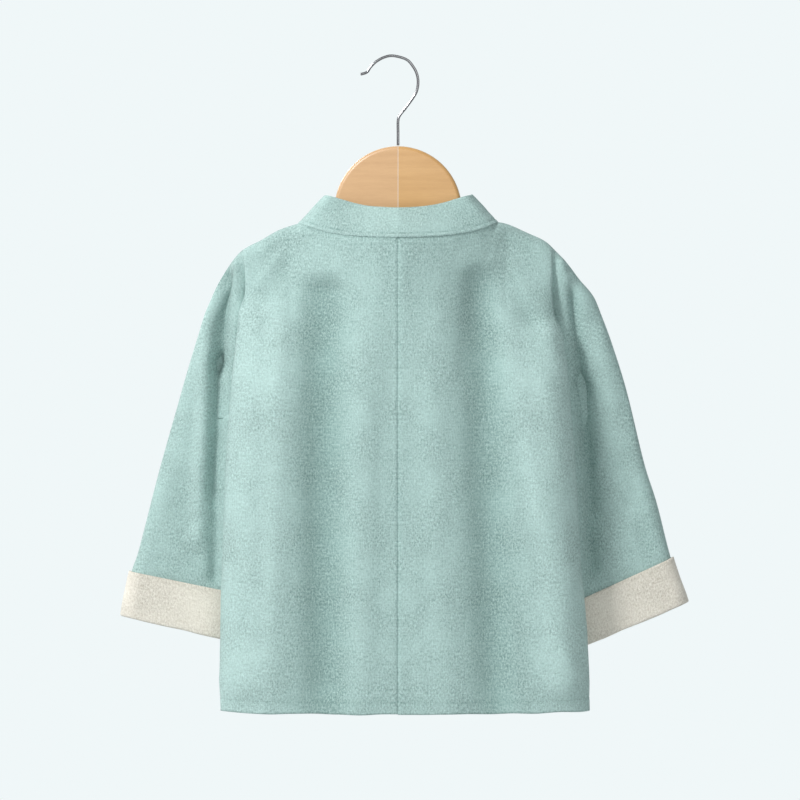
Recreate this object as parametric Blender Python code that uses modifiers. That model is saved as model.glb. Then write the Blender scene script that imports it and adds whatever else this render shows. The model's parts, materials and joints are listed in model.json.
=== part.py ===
"""A child's hanfu jacket hung on a wooden hanger, in metres, +Z up.

The origin is the underside of the hook's crown, where a rail carries it. The jacket's back
faces -Y and its crossed front faces +Y, so the wearer's left is at -X. Each half of the back
and of the front is cut in one with its sleeve: a panel is a sheet whose columns run down the
fall of the cloth, from the neck and the shoulder line to the hem or to the sleeve's end. The
sheet is the cloth's inner side, and its wall grows outwards, so that seams stay apart.
"""

import math
from bisect import bisect_right
from collections import namedtuple

import bmesh
import bpy
import numpy as np
from mathutils import Vector

OBJECT_NAME = "hanfu_on_hanger"

# Cloth
WALL = 0.0016
SEAM_GAP = 0.0003
COLLAR_WALL = 0.0022
COLLAR_WIDTH = 0.034
COLLAR_EASE = 0.0010
COLLAR_EASE_REACH = 0.016
COLLAR_SETTLES_IN = 0.060
# Which way the band stands at the middle of the back and at the neck point, inwards and up
COLLAR_LEAN_MIDDLE = Vector((0.0, 0.62, 0.785))
COLLAR_LEAN_POINT = Vector((-0.68, 0.0, 0.73))

# The hung jacket's main heights and widths
NECK_POINT_X = 0.091
NECK_POINT_Z = -0.1526
NECK_BACK_Z = -0.1655
HEM_Z = -0.6050
HEM_LIFT_AT_SIDE = 0.0030
SIDE_REACH = 0.170
UNDERARM_Z = -0.330
UNDERARM_EASE = 0.0014
UNDERARM_REACH = 0.020
UPPER_ENDS_Z = -0.165
UPPER_EASE = 0.170
SLIT_TOP_Z = -0.574
SLIT_EASE = 0.020
SLIT_GAPE = {"left": 0.0040, "right": 0.0075}
SLIT_FORWARDS = 0.0030

# How the front laps: X of the over-lap's lower neck corner and of the under-lap's
OVER_LAP_X = 0.104
UNDER_LAP_X = -0.050
LAP_LIFT = 0.0045
LAP_LIFT_STARTS_X = -0.108
LAP_LIFT_FULL_X = -0.082

# The hanger is bent at its middle, and the shoulder line follows it
BEND = math.tan(math.radians(7.0))
SHOULDER_ROLL = 0.009
SLEEVE_ROLL = 0.011

# How deep the cloth stands off the hanger near the shoulder, and how much deeper at the neck
Upper = namedtuple("Upper", "depth neck_depth")
UPPER_DEPTH = {"back": Upper(0.011, 0.020), "front": Upper(0.013, 0.017)}
NECK_SPREAD = 0.100
# Powers that shape the cloth's section: the higher, the flatter it stays before it turns
BACK_FULLNESS = 2.6
FRONT_FULLNESS = 3.2
CREASE_KEEP = 6
WRAP_LATE = 1.7
WRAP_EARLY = 0.85

Line = namedtuple("Line", "x z")
# The outline of the shoulder and the sleeve's upper edge, from the neck point to the cuff's end
OUTER_LINE = {
    "left": [
        Line(0.0900, -0.1510), Line(0.1104, -0.1578), Line(0.1283, -0.1678),
        Line(0.1395, -0.1733), Line(0.1484, -0.1800), Line(0.1607, -0.1968),
        Line(0.1730, -0.2202), Line(0.1900, -0.2693), Line(0.2064, -0.3256),
        Line(0.2229, -0.3843), Line(0.2417, -0.4570), Line(0.2478, -0.4750),
        Line(0.2567, -0.5170),
    ],
    "right": [
        Line(0.0900, -0.1500), Line(0.1016, -0.1524), Line(0.1192, -0.1601),
        Line(0.1368, -0.1684), Line(0.1485, -0.1794), Line(0.1579, -0.1895),
        Line(0.1680, -0.2030), Line(0.1820, -0.2200), Line(0.1895, -0.2380),
        Line(0.1985, -0.2622), Line(0.2125, -0.3068), Line(0.2291, -0.3749),
        Line(0.2406, -0.4112), Line(0.2539, -0.4628), Line(0.2690, -0.5050),
    ],
}

Edge = namedtuple("Edge", "z left right")
# Half widths out to the fold at the body's side
BODY_EDGE = [
    Edge(-0.175, 0.1430, 0.1425), Edge(-0.220, 0.1420, 0.1440), Edge(-0.270, 0.1470, 0.1510),
    Edge(-0.326, 0.1530, 0.1570), Edge(-0.385, 0.1570, 0.1630), Edge(-0.463, 0.1600, 0.1670),
    Edge(-0.536, 0.1610, 0.1730), Edge(-0.604, 0.1625, 0.1766),
]

Depth = namedtuple("Depth", "z back edge front")
# Y of the middle of the back, of the side fold and of the middle of the front
BODY_DEPTH = [
    Depth(-0.160, -0.031, 0.006, 0.030), Depth(-0.250, -0.031, 0.003, 0.031),
    Depth(-0.330, -0.031, -0.002, 0.031), Depth(-0.450, -0.032, -0.003, 0.030),
    Depth(-0.604, -0.033, -0.003, 0.030),
]

Fold = namedtuple("Fold", "z inwards forwards")
# From the side fold round to the seam at the body's side: how far in, and its Y
SIDE_SEAM = [
    Fold(-0.176, -0.0050, 0.0080), Fold(-0.205, 0.0015, 0.0120), Fold(-0.250, 0.0085, 0.0180),
    Fold(-0.330, 0.0100, 0.0200), Fold(-0.365, 0.0085, 0.0150), Fold(-0.430, 0.0055, 0.0100),
    Fold(-0.604, 0.0050, 0.0080),
]
# The sleeve's lower seam hangs in front of the body's side
SLEEVE_SEAM = [
    Fold(-0.330, 0.0100, 0.0200), Fold(-0.360, 0.0085, 0.0240), Fold(-0.420, 0.0070, 0.0275),
    Fold(-0.545, 0.0070, 0.0300),
]

Sleeve = namedtuple("Sleeve", "z outer_y depth gape")
SLEEVE_FULL_BY = 0.5
SLEEVE_TOP_OUT = 0.018
SLEEVE_SEAM_TURNS_LATE = 4
# Y of the sleeve's upper edge, half its thickness, and the gap from the back's seam to the front
SLEEVE_DEPTH = [
    Sleeve(-0.176, 0.0195, 0.0080, 0.0210), Sleeve(-0.230, 0.0230, 0.0075, 0.0150),
    Sleeve(-0.285, 0.0255, 0.0060, 0.0090), Sleeve(-0.330, 0.0270, 0.0045, 0.0012),
    Sleeve(-0.400, 0.0290, 0.0085, 0.0003), Sleeve(-0.520, 0.0310, 0.0100, 0.0003),
]

Crease = namedtuple("Crease", "panel x_top z_top x_end z_end width depth")
# The large folds: a positive depth is a trough, a negative one a ridge
CREASES = [
    Crease("back", -0.072, -0.185, -0.071, -0.640, 0.0190, 0.0060),
    Crease("back", -0.034, -0.230, -0.040, -0.640, 0.0170, -0.0030),
    Crease("back", -0.110, -0.200, -0.122, -0.640, 0.0170, -0.0030),
    Crease("back", 0.073, -0.180, 0.090, -0.640, 0.0200, 0.0060),
    Crease("back", 0.030, -0.215, 0.042, -0.640, 0.0170, -0.0025),
    Crease("back", 0.110, -0.205, 0.158, -0.350, 0.0100, 0.0045),
    Crease("back", 0.088, -0.195, 0.140, -0.460, 0.0120, -0.0040),
    Crease("front", -0.078, -0.215, -0.084, -0.640, 0.0200, 0.0050),
    Crease("front", -0.115, -0.215, -0.122, -0.640, 0.0160, -0.0030),
    Crease("front", 0.082, -0.390, 0.092, -0.640, 0.0180, 0.0030),
    Crease("front", 0.010, -0.330, 0.014, -0.640, 0.0240, 0.0035),
]
CREASE_FADE = 0.050

Wave = namedtuple("Wave", "start end along width depth")
# Folds across a sleeve: places down its length at its lower and its upper edge
SLEEVE_WAVES = [
    Wave(0.34, 0.18, 0.35, 0.055, 0.0030), Wave(0.62, 0.50, 0.60, 0.050, -0.0025),
    Wave(0.80, 0.70, 0.45, 0.045, 0.0030),
]

# Cuffs, turned back over the sleeve's end: corners at the lower seam, top and fold
CUFF_DEPTH = 0.043
CUFF_STARTS_AT = 0.15
CUFF_TURNS_AT = 0.95
CUFF_LEG_STEPS = 4
CUFF_FOLD_STEPS = 4
CUFF_SEAM_AT = 0.14
CUFF_LAY = 0.0042
CUFF_INNER = {
    "left": (Line(0.1535, -0.4940), Line(0.1535, -0.5400)),
    "right": (Line(0.1620, -0.5040), Line(0.1680, -0.5460)),
}
CUFF_OUTER = {
    "left": (Line(0.2478, -0.4750), Line(0.2567, -0.5170)),
    "right": (Line(0.2539, -0.4628), Line(0.2690, -0.5050)),
}

# How the sheets are divided
ROLL_ANGLES = (0.0, 14.0, 38.0, 64.0, 90.0)
ROW_CROWDING = 1.15
ROWS_TO_UNDERARM = 8
ROWS_TO_HEM = 9
NECK_COLUMNS = (0.0, 0.03, 0.19, 0.38, 0.56, 0.72, 0.85, 0.94, 0.98, 1.0)
SHOULDER_COLUMNS = (0.24, 0.48, 0.70, 0.86, 0.955, 1.0)
WRAP_COLUMNS = (0.30, 0.62, 1.0)
FRONT_COLUMNS = (0.0, 0.10, 0.20, 0.30, 0.40, 0.50, 0.59, 0.68, 0.77, 0.85, 0.92, 0.97, 1.0)
SLEEVE_COLUMNS = (0.0, 0.03, 0.10, 0.22, 0.38, 0.55, 0.72, 0.86, 0.95, 0.99, 1.0)
UNDERARM_ROW = len(ROLL_ANGLES) - 1 + ROWS_TO_UNDERARM
LAST_ROW = UNDERARM_ROW + ROWS_TO_HEM
CORNER_ROWS = {"left": UNDERARM_ROW + 1, "right": UNDERARM_ROW}
COLLAR_ROWS = 3

# Hanger
WOOD_THICK = 0.012
WOOD_ROUNDING = 0.0035
HUMP_RADIUS = 0.059
HUMP_TOP_Z = -0.081
# The jacket hangs a little lower on its left, so each arm has its own slope
ARM_ROOT = {"left": Line(0.0605, -0.1407), "right": Line(0.0605, -0.1400)}
ARM_TIP = {"left": Line(0.1400, -0.1760), "right": Line(0.1400, -0.1736)}
ARM_TIP_HEIGHT = 0.0150
ARM_TIP_RISE = 0.0020
WOOD_UNDER_Z = -0.1400
# Places along the arm's top, and the underside from the tip to the middle
WOOD_TOP_AT = (0.0620, 0.0850, 0.1100, 0.1340)
WOOD_UNDERSIDE = [
    Line(0.1000, -0.1790), Line(0.0700, -0.1660), Line(0.0450, -0.1520), Line(0.0200, -0.1424),
    Line(0.0000, WOOD_UNDER_Z),
]
STEM_BORE_RADIUS = 0.0017
STEM_DEPTH = 0.024
STEM_FOOT_GAP = 0.001

# Hook
WIRE_RADIUS = 0.0013
HOOK_ROUTE = [
    Line(-0.0347, -0.0158), Line(-0.0289, -0.0139), Line(-0.0256, -0.0094), Line(-0.0204, -0.0042),
    Line(-0.0127, 0.0000), Line(-0.0043, 0.0013), Line(0.0079, -0.0022), Line(0.0144, -0.0094),
    Line(0.0177, -0.0165), Line(0.0185, -0.0242), Line(0.0170, -0.0319), Line(0.0132, -0.0385),
    Line(0.0066, -0.0475), Line(0.0015, -0.0540), Line(0.0000, -0.0590), Line(0.0000, -0.0700),
    Line(0.0000, HUMP_TOP_Z - STEM_DEPTH + STEM_FOOT_GAP),
]
HOOK_STEPS = 3

# Press stud
STUD_X = 0.082
STUD_Z = -0.385
STUD_RADIUS = 0.0040
STUD_PART = 0.0009
STUD_SEAT = 0.0004

SIDES = {"left": -1.0, "right": 1.0}
CLOTH = ("cloth", (0.39, 0.56, 0.53), 0.9, 0.0)
FACING = ("cuff_cloth", (0.83, 0.79, 0.72), 0.9, 0.0)
WOOD = ("wood", (0.77, 0.50, 0.27), 0.45, 0.0)
STEEL = ("steel", (0.62, 0.62, 0.62), 0.18, 1.0)


def clear_scene():
    for obj in list(bpy.data.objects):
        bpy.data.objects.remove(obj)


def collection(name, shown=True):
    made = bpy.data.collections.new(name)
    made.hide_render = not shown
    bpy.context.scene.collection.children.link(made)
    return made


def material(name, colour, roughness, metallic):
    made = bpy.data.materials.new(name)
    made.use_nodes = True
    shader = made.node_tree.nodes["Principled BSDF"]
    shader.inputs["Base Color"].default_value = (*colour, 1.0)
    shader.inputs["Roughness"].default_value = roughness
    shader.inputs["Metallic"].default_value = metallic
    return made


def add_object(name, bm, where, look):
    mesh = bpy.data.meshes.new(name)
    bm.to_mesh(mesh)
    bm.free()
    obj = bpy.data.objects.new(name, mesh)
    where.objects.link(obj)
    mesh.materials.append(material(name + "_" + look[0], *look[1:]))
    mesh.shade_smooth()
    return obj


def between(a, b, t):
    return a + (b - a) * t


def smooth(t):
    t = min(max(t, 0.0), 1.0)
    return t * t * (3.0 - 2.0 * t)


def rounded(t):
    """Rises from 0 to 1 as a quarter circle, upright at its start."""
    t = min(max(t, 0.0), 1.0)
    return math.sqrt(1.0 - (1.0 - t) ** 2)


def read(table, key, column, at):
    """The column's value between the table's rows, on a smooth curve through them."""
    rows = sorted(table, key=lambda row: getattr(row, key))
    places = [getattr(row, key) for row in rows]
    values = [getattr(row, column) for row in rows]
    if at <= places[0]:
        return values[0]
    if at >= places[-1]:
        return values[-1]
    i = bisect_right(places, at) - 1

    def slope(k):
        low, high = max(k - 1, 0), min(k + 1, len(rows) - 1)
        return (values[high] - values[low]) / (places[high] - places[low])

    span = places[i + 1] - places[i]
    t = (at - places[i]) / span
    rise = values[i + 1] - values[i]
    start, end = slope(i) * span, slope(i + 1) * span
    return values[i] + t * (start + t * (3.0 * rise - 2.0 * start - end + t * (start + end - 2.0 * rise)))


def inset_line(side, steps=90):
    """The outer line moved in by the wall, as x, z pairs."""
    table = OUTER_LINE[side]
    xs = np.linspace(table[0].x, table[-1].x, steps)
    line = np.array([(x, read(table, "x", "z", x)) for x in xs])
    along = np.gradient(line, axis=0)
    along /= np.linalg.norm(along, axis=1)[:, None]
    return line + WALL * np.stack([along[:, 1], -along[:, 0]], axis=1)


INSET = {side: inset_line(side) for side in SIDES}


def shoulder_z(side, x):
    return float(np.interp(x, INSET[side][:, 0], INSET[side][:, 1]))


def on_shoulder(side, x):
    return Vector((SIDES[side] * x, x * BEND, shoulder_z(side, x)))


def sleeve_x(side, z):
    return float(np.interp(-z, -INSET[side][:, 1], INSET[side][:, 0]))


def from_outline(side, x, z):
    """How far a place lies from the outer line."""
    line = INSET[side]
    start, step = line[:-1], np.diff(line, axis=0)
    here = np.array([x, z]) - start
    t = np.clip((here * step).sum(1) / (step * step).sum(1), 0.0, 1.0)
    return float(np.linalg.norm(here - t[:, None] * step, axis=1).min())


def side_of(x):
    return "left" if x < 0 else "right"


def body_edge_x(side, z):
    return read(BODY_EDGE, "z", side, z) - WALL


def crease_depth(panel, x, z):
    total = 0.0
    for crease in CREASES:
        if crease.panel != panel:
            continue
        t = (z - crease.z_top) / (crease.z_end - crease.z_top)
        middle = between(crease.x_top, crease.x_end, min(max(t, -0.2), 1.2))
        fade = smooth((crease.z_top - z) / CREASE_FADE) * smooth((z - crease.z_end) / CREASE_FADE)
        total += crease.depth * fade * math.exp(-(((x - middle) / crease.width) ** 2))
    return total


def over_shoulder(side, x, z):
    """0 on the outer line, rising to 1 where the cloth has rolled over the shoulder."""
    return rounded(from_outline(side, abs(x), z) / SHOULDER_ROLL)


def upper_depth(panel, side, out, z):
    """How far the cloth stands off the hanger's plane near the shoulder and the neck."""
    upper = UPPER_DEPTH[panel]
    depth = upper.depth + upper.neck_depth * max(1.0 - (out / NECK_SPREAD) ** 2, 0.0)
    return depth * over_shoulder(side, out, z)


def back_y(x, z):
    """The inside of the back, from its middle to the fold at its side."""
    side, out = side_of(x), abs(x)
    edge = body_edge_x(side, z)
    middle, fold = read(BODY_DEPTH, "z", "back", z), read(BODY_DEPTH, "z", "edge", z)
    share = min(out / edge, 1.0)
    lower = fold + (middle - fold) * (1.0 - share**BACK_FULLNESS) ** (1.0 / BACK_FULLNESS)
    upper = out * BEND - upper_depth("back", side, out, z)
    y = between(upper, lower, smooth((UPPER_ENDS_Z - z) / UPPER_EASE))
    return y + crease_depth("back", x, z) * (1.0 - share**CREASE_KEEP)


def front_y(x, z):
    """The inside of the front, from its middle to the seam at its side."""
    side, out = side_of(x), abs(x)
    seam_x, seam_y = side_seam(side, z, "front")
    middle = read(BODY_DEPTH, "z", "front", z)
    share = min(out / seam_x, 1.0)
    lower = between(middle, seam_y, share**FRONT_FULLNESS)
    upper = out * BEND + upper_depth("front", side, out, z)
    y = between(upper, lower, smooth((UPPER_ENDS_Z - z) / UPPER_EASE))
    return y - crease_depth("front", x, z) * (1.0 - share**CREASE_KEEP)


def side_seam(side, z, panel):
    """X and Y where body and sleeve part, or where the body's side is sewn."""
    edge = body_edge_x(side, z)
    x = edge - read(SIDE_SEAM, "z", "inwards", z)
    over = over_shoulder(side, x, z)
    y = between(x * BEND, read(SIDE_SEAM, "z", "forwards", z), over)
    if panel == "back":
        return x, y
    gape = read(SLEEVE_DEPTH, "z", "gape", z) * over
    slit = smooth((SLIT_TOP_Z - z) / SLIT_EASE)
    x += slit * SLIT_GAPE[side]
    x -= UNDERARM_EASE * math.exp(-(((z - UNDERARM_Z) / UNDERARM_REACH) ** 2))
    return x, y + gape + slit * SLIT_FORWARDS


def hem_z(x):
    return HEM_Z + HEM_LIFT_AT_SIDE * (abs(x) / SIDE_REACH) ** 4


def neck_z(x):
    """The neck seam of the back, from its middle to the neck point."""
    return between(NECK_BACK_Z, NECK_POINT_Z, (abs(x) / NECK_POINT_X) ** BACK_FULLNESS)


def lap_corner_z(panel_side):
    """Height where the neck edge ends: on a row of the front's sheet."""
    return between(UNDERARM_Z, HEM_Z, (CORNER_ROWS[panel_side] - UNDERARM_ROW) / ROWS_TO_HEM)


def lap_x(panel_side, z):
    """X of the front's neck edge, then of its lap edge, down to the hem."""
    corner_x = OVER_LAP_X if panel_side == "left" else UNDER_LAP_X
    t = (NECK_POINT_Z - z) / (NECK_POINT_Z - lap_corner_z(panel_side))
    return between(SIDES[panel_side] * NECK_POINT_X, corner_x, min(max(t, 0.0), 1.0))


def lap_lift(panel_side, x):
    if panel_side != "left":
        return 0.0
    return LAP_LIFT * smooth((x - LAP_LIFT_STARTS_X) / (LAP_LIFT_FULL_X - LAP_LIFT_STARTS_X))


def lap_surface(panel_side, x, z):
    """The inside of one front, with the over-lap lifted off the under-lap."""
    return front_y(x, z) + lap_lift(panel_side, x) * over_shoulder(side_of(x), x, z)


def row_heights(top, bottom):
    """Heights down one column: round the shoulder, to the underarm and to the bottom."""
    heights = [top - SHOULDER_ROLL * (1.0 - math.cos(math.radians(angle))) for angle in ROLL_ANGLES]
    start = heights[-1]
    for k in range(1, ROWS_TO_UNDERARM + 1):
        heights.append(between(start, UNDERARM_Z, (k / ROWS_TO_UNDERARM) ** ROW_CROWDING))
    for k in range(1, ROWS_TO_HEM + 1):
        heights.append(between(UNDERARM_Z, bottom, k / ROWS_TO_HEM))
    return heights


def seam_column(side, panel):
    """Places down the line where body and sleeve part, then down the body's side seam."""
    top_x = side_seam(side, SIDE_SEAM[0].z, panel)[0]
    column = []
    for z in row_heights(shoulder_z(side, top_x), hem_z(SIDE_REACH)):
        x, y = side_seam(side, z, panel)
        column.append(Vector((SIDES[side] * x, y, z)))
    column[0] = on_shoulder(side, top_x)
    return column


def back_body_columns(side):
    """Columns of the back's body, each a list of points from top to hem."""
    sign = SIDES[side]
    columns = []
    top_edge = body_edge_x(side, SIDE_SEAM[0].z)
    neck_share = NECK_POINT_X / top_edge
    shares = [neck_share * k for k in NECK_COLUMNS]
    shares += [between(neck_share, 1.0, k) for k in SHOULDER_COLUMNS]
    for share in shares:
        top_x = max(share * top_edge, SEAM_GAP / 2)
        top = neck_z(top_x) if share < neck_share else shoulder_z(side, top_x)
        column = []
        for z in row_heights(top, hem_z(share * SIDE_REACH)):
            x = max(share * body_edge_x(side, z), SEAM_GAP / 2)
            column.append(Vector((sign * x, back_y(sign * x, z), z)))
        if share >= neck_share:
            column[0] = on_shoulder(side, top_x)
        columns.append(column)
    fold, seam = columns[-1], seam_column(side, "back")
    for share in WRAP_COLUMNS:
        column = []
        for start, end in zip(fold, seam):
            place = start.lerp(end, share**WRAP_LATE)
            place.y = between(start.y, end.y, share**WRAP_EARLY)
            column.append(place)
        columns.append(column)
    return columns


def front_body_columns(side):
    """Columns of the front's body, from its neck and lap edge to the side seam."""
    sign = SIDES[side]
    columns = []
    top_seam = side_seam(side, SIDE_SEAM[0].z, "front")[0]
    for share in FRONT_COLUMNS:
        top_x = between(NECK_POINT_X, top_seam, share)
        column = []
        for z in row_heights(shoulder_z(side, top_x), hem_z(share * SIDE_REACH)):
            x = between(lap_x(side, z), sign * side_seam(side, z, "front")[0], share)
            column.append(Vector((x, lap_surface(side, x, z), z)))
        column[0] = on_shoulder(side, top_x)
        columns.append(column)
    columns[-1] = seam_column(side, "front")
    return columns


def tube_point(inner, outer, depth, share, face, lay=0.0):
    """A place on one face of a closed sleeve, between its lower seam and its upper edge."""
    across = outer - inner
    width = across.length
    across = across / width
    start, end = inner - across * lay, outer + across * lay
    wide, roll = width + 2.0 * lay, SLEEVE_ROLL + lay
    place = start.lerp(end, share)
    place.y += face * (depth + lay) * rounded(share * wide / roll) * rounded((1.0 - share) * wide / roll)
    return place


def open_point(side, inner, outer, rise, depth, share, face):
    """A place on one face of the sleeve above the underarm, where it runs on from the body."""
    place = inner.lerp(outer, share)
    place.z += rise
    far = rounded(from_outline(side, abs(place.x), place.z) / SLEEVE_ROLL)
    place.y += face * depth * smooth(share / SLEEVE_FULL_BY) * far
    return place


def sleeve_edges(side, row, heights, panel):
    """The places of the sleeve's lower seam and upper edge on one row."""
    sign = SIDES[side]
    cuff_in, cuff_out = cuff_corners(side, CUFF_SEAM_AT)
    if row <= UNDERARM_ROW:
        z = heights[row]
        x, y = side_seam(side, z, panel)
        if row == 0:
            x = side_seam(side, SIDE_SEAM[0].z, panel)[0]
            y = x * BEND
    else:
        share = (row - UNDERARM_ROW) / (LAST_ROW - UNDERARM_ROW)
        z = between(UNDERARM_Z, cuff_in.z, share)
        under_body = body_edge_x(side, z) - read(SLEEVE_SEAM, "z", "inwards", z)
        x = between(under_body, abs(cuff_in.x), share**SLEEVE_SEAM_TURNS_LATE)
        y = read(SLEEVE_SEAM, "z", "forwards", z)
    inner = Vector((sign * x, y, z))
    top_z = shoulder_z(side, body_edge_x(side, SIDE_SEAM[0].z) + SLEEVE_TOP_OUT)
    share = (heights[0] - z) / (heights[0] - cuff_in.z)
    outer_z = between(top_z, cuff_out.z, share)
    outer_y = read(SLEEVE_DEPTH, "z", "outer_y", outer_z)
    outer = Vector((sign * sleeve_x(side, outer_z), outer_y, outer_z))
    return inner, outer


def cuff_corners(side, share):
    """The cuff's corners a share of the way from its top edge to its fold."""
    sign = SIDES[side]
    places = []
    for corners in (CUFF_INNER[side], CUFF_OUTER[side]):
        x, z = between(corners[0].x, corners[1].x, share), between(corners[0].z, corners[1].z, share)
        y = read(SLEEVE_SEAM, "z", "forwards", z)
        if corners is CUFF_OUTER[side]:
            x = sleeve_x(side, z)
            y = read(SLEEVE_DEPTH, "z", "outer_y", z)
        places.append(Vector((sign * x, y, z)))
    return places


def sleeve_columns(side, panel):
    face = -1.0 if panel == "back" else 1.0
    top = shoulder_z(side, side_seam(side, SIDE_SEAM[0].z, panel)[0])
    heights = row_heights(top, HEM_Z)
    columns = [[] for _ in SLEEVE_COLUMNS]
    top_inner, top_outer = sleeve_edges(side, 0, heights, panel)
    for row in range(LAST_ROW + 1):
        inner, outer = sleeve_edges(side, row, heights, panel)
        depth = read(SLEEVE_DEPTH, "z", "depth", inner.z)
        down = row / LAST_ROW
        for column, share in zip(columns, SLEEVE_COLUMNS):
            if row > UNDERARM_ROW:
                place = tube_point(inner, outer, depth, share, face)
            else:
                on_top = top_inner.lerp(top_outer, share)
                rise = (shoulder_z(side, abs(on_top.x)) - on_top.z) * (1.0 - row / UNDERARM_ROW)
                place = open_point(side, inner, outer, rise, depth, share, face)
            for wave in SLEEVE_WAVES:
                at = between(wave.start, wave.end, share)
                swell = math.exp(-(((down - at) / wave.width) ** 2)) * math.sin(math.pi * share) ** 2
                place.y -= face * wave.depth * swell * (1.0 - wave.along * share)
            place.y += face * SEAM_GAP / 2 * (share == 1.0 or (share == 0.0 and row > UNDERARM_ROW))
            column.append(place)
    return columns


def sheet(bm, columns, flip):
    """A grid of faces through the columns' points, added to the mesh."""
    wide, tall = len(columns) - 1, len(columns[0]) - 1
    made = bmesh.ops.create_grid(bm, x_segments=wide, y_segments=tall, size=1.0)["verts"]
    for vert in made:
        i, j = round((vert.co.x + 1.0) / 2.0 * wide), round((vert.co.y + 1.0) / 2.0 * tall)
        vert.co = columns[i][j]
    if flip:
        faces = {face for vert in made for face in vert.link_faces}
        bmesh.ops.reverse_faces(bm, faces=list(faces))


def thicken(obj, thickness):
    wall = obj.modifiers.new("wall", "SOLIDIFY")
    wall.thickness = thickness
    wall.offset = 1.0


def make_panel(name, side, panel, where):
    """Half of the back or of the front, with its sleeve."""
    body = back_body_columns(side) if panel == "back" else front_body_columns(side)
    sleeve = sleeve_columns(side, panel)
    for row in range(UNDERARM_ROW + 1):
        sleeve[0][row] = body[-1][row].copy()
    shift = SEAM_GAP / 2 if panel == "front" else -SEAM_GAP / 2
    for row in range(UNDERARM_ROW + 1, LAST_ROW + 1):
        body[-1][row].y += shift
    for column in body + sleeve:
        column[0].y += shift * (abs(column[0].x) > NECK_POINT_X - 0.001)
    bm = bmesh.new()
    flip = (side == "left") != (panel == "back")
    sheet(bm, body, flip)
    sheet(bm, sleeve, flip)
    bmesh.ops.remove_doubles(bm, verts=bm.verts, dist=1e-6)
    obj = add_object(name, bm, where, CLOTH)
    thicken(obj, WALL)
    return body


def collar_lean(x):
    """Which way the band stands along the back of the neck."""
    share = min(abs(x) / NECK_POINT_X, 1.0) ** 2
    point = COLLAR_LEAN_POINT.copy()
    point.x *= math.copysign(1.0, x)
    return COLLAR_LEAN_MIDDLE.lerp(point, share).normalized()


def collar_path(fronts, backs):
    """The seam round the neck from lap to lap, with the band's rise at each place."""
    stretches = {}
    for side, sign in SIDES.items():
        corner_x = lap_x(side, lap_corner_z(side)) - sign * NECK_POINT_X
        slant = Vector((corner_x, 0.0, lap_corner_z(side) - NECK_POINT_Z)).normalized()
        away = Vector((-sign * abs(slant.z), 0.0, abs(slant.x)))
        stretch = []
        for place in fronts[side][0][1 : CORNER_ROWS[side] + 1]:
            settled = smooth((NECK_POINT_Z - place.z) / COLLAR_SETTLES_IN)
            rise = collar_lean(place.x if settled < 1.0 else sign).lerp(away, settled) * COLLAR_WIDTH
            free = place + rise
            flat = lap_surface(side, free.x, free.z) - lap_surface(side, place.x, place.z)
            rise.y = flat * settled
            stretch.append((place, rise))
        stretches["front", side] = stretch
        neck = backs[side][: len(NECK_COLUMNS)]
        stretches["back", side] = [(column[0], collar_lean(column[0].x) * COLLAR_WIDTH) for column in neck]
    path = stretches["front", "left"][::-1] + stretches["back", "left"][::-1]
    path += stretches["back", "right"][1:] + stretches["front", "right"]
    spaced = []
    for place, rise in path:
        off_neck_point = Vector((abs(place.x) - NECK_POINT_X, 0.0, place.z - NECK_POINT_Z)).length
        gap = SEAM_GAP + COLLAR_EASE * math.exp(-((off_neck_point / COLLAR_EASE_REACH) ** 2))
        spaced.append((place + rise.normalized() * gap, rise))
    return spaced


def make_collar(path, where):
    columns = [
        [seam + rise * (row / COLLAR_ROWS) for row in range(COLLAR_ROWS + 1)] for seam, rise in path
    ]
    bm = bmesh.new()
    sheet(bm, columns, flip=False)
    obj = add_object("collar", bm, where, CLOTH)
    thicken(obj, COLLAR_WALL)


def make_cuff(side, where):
    """The sleeve's end turned back: an inner leg, the fold and the outer leg, all round the sleeve."""
    fold = CUFF_LAY / 2
    legs = []
    for k in range(CUFF_LEG_STEPS):
        legs.append((between(CUFF_STARTS_AT, CUFF_TURNS_AT, k / CUFF_LEG_STEPS), 0.0))
    for k in range(CUFF_FOLD_STEPS + 1):
        angle = math.pi * k / CUFF_FOLD_STEPS
        legs.append((1.0 - (fold - fold * math.sin(angle)) / CUFF_DEPTH, fold - fold * math.cos(angle)))
    legs += [
        (CUFF_TURNS_AT * (1.0 - k / CUFF_LEG_STEPS), CUFF_LAY) for k in range(1, CUFF_LEG_STEPS + 1)
    ]
    shares = [(share, -1.0) for share in SLEEVE_COLUMNS]
    shares += [(share, 1.0) for share in SLEEVE_COLUMNS[-2:0:-1]]
    shares.append(shares[0])
    columns = []
    for share, face in shares:
        column = []
        for at, lay in legs:
            inner, outer = cuff_corners(side, at)
            depth = read(SLEEVE_DEPTH, "z", "depth", inner.z)
            column.append(tube_point(inner, outer, depth, share, face, lay))
        columns.append(column)
    bm = bmesh.new()
    sheet(bm, columns, flip=side == "right")
    bmesh.ops.remove_doubles(bm, verts=bm.verts, dist=1e-6)
    obj = add_object("cuff_" + side, bm, where, FACING)
    thicken(obj, WALL)


def wood_top(side, x):
    hump = HUMP_TOP_Z - HUMP_RADIUS + math.sqrt(max(HUMP_RADIUS**2 - x * x, 0.0))
    root, tip = ARM_ROOT[side], ARM_TIP[side]
    arm = between(root.z, tip.z, (x - root.x) / (tip.x - root.x))
    return max(hump, arm) if x < HUMP_RADIUS else arm


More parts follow.
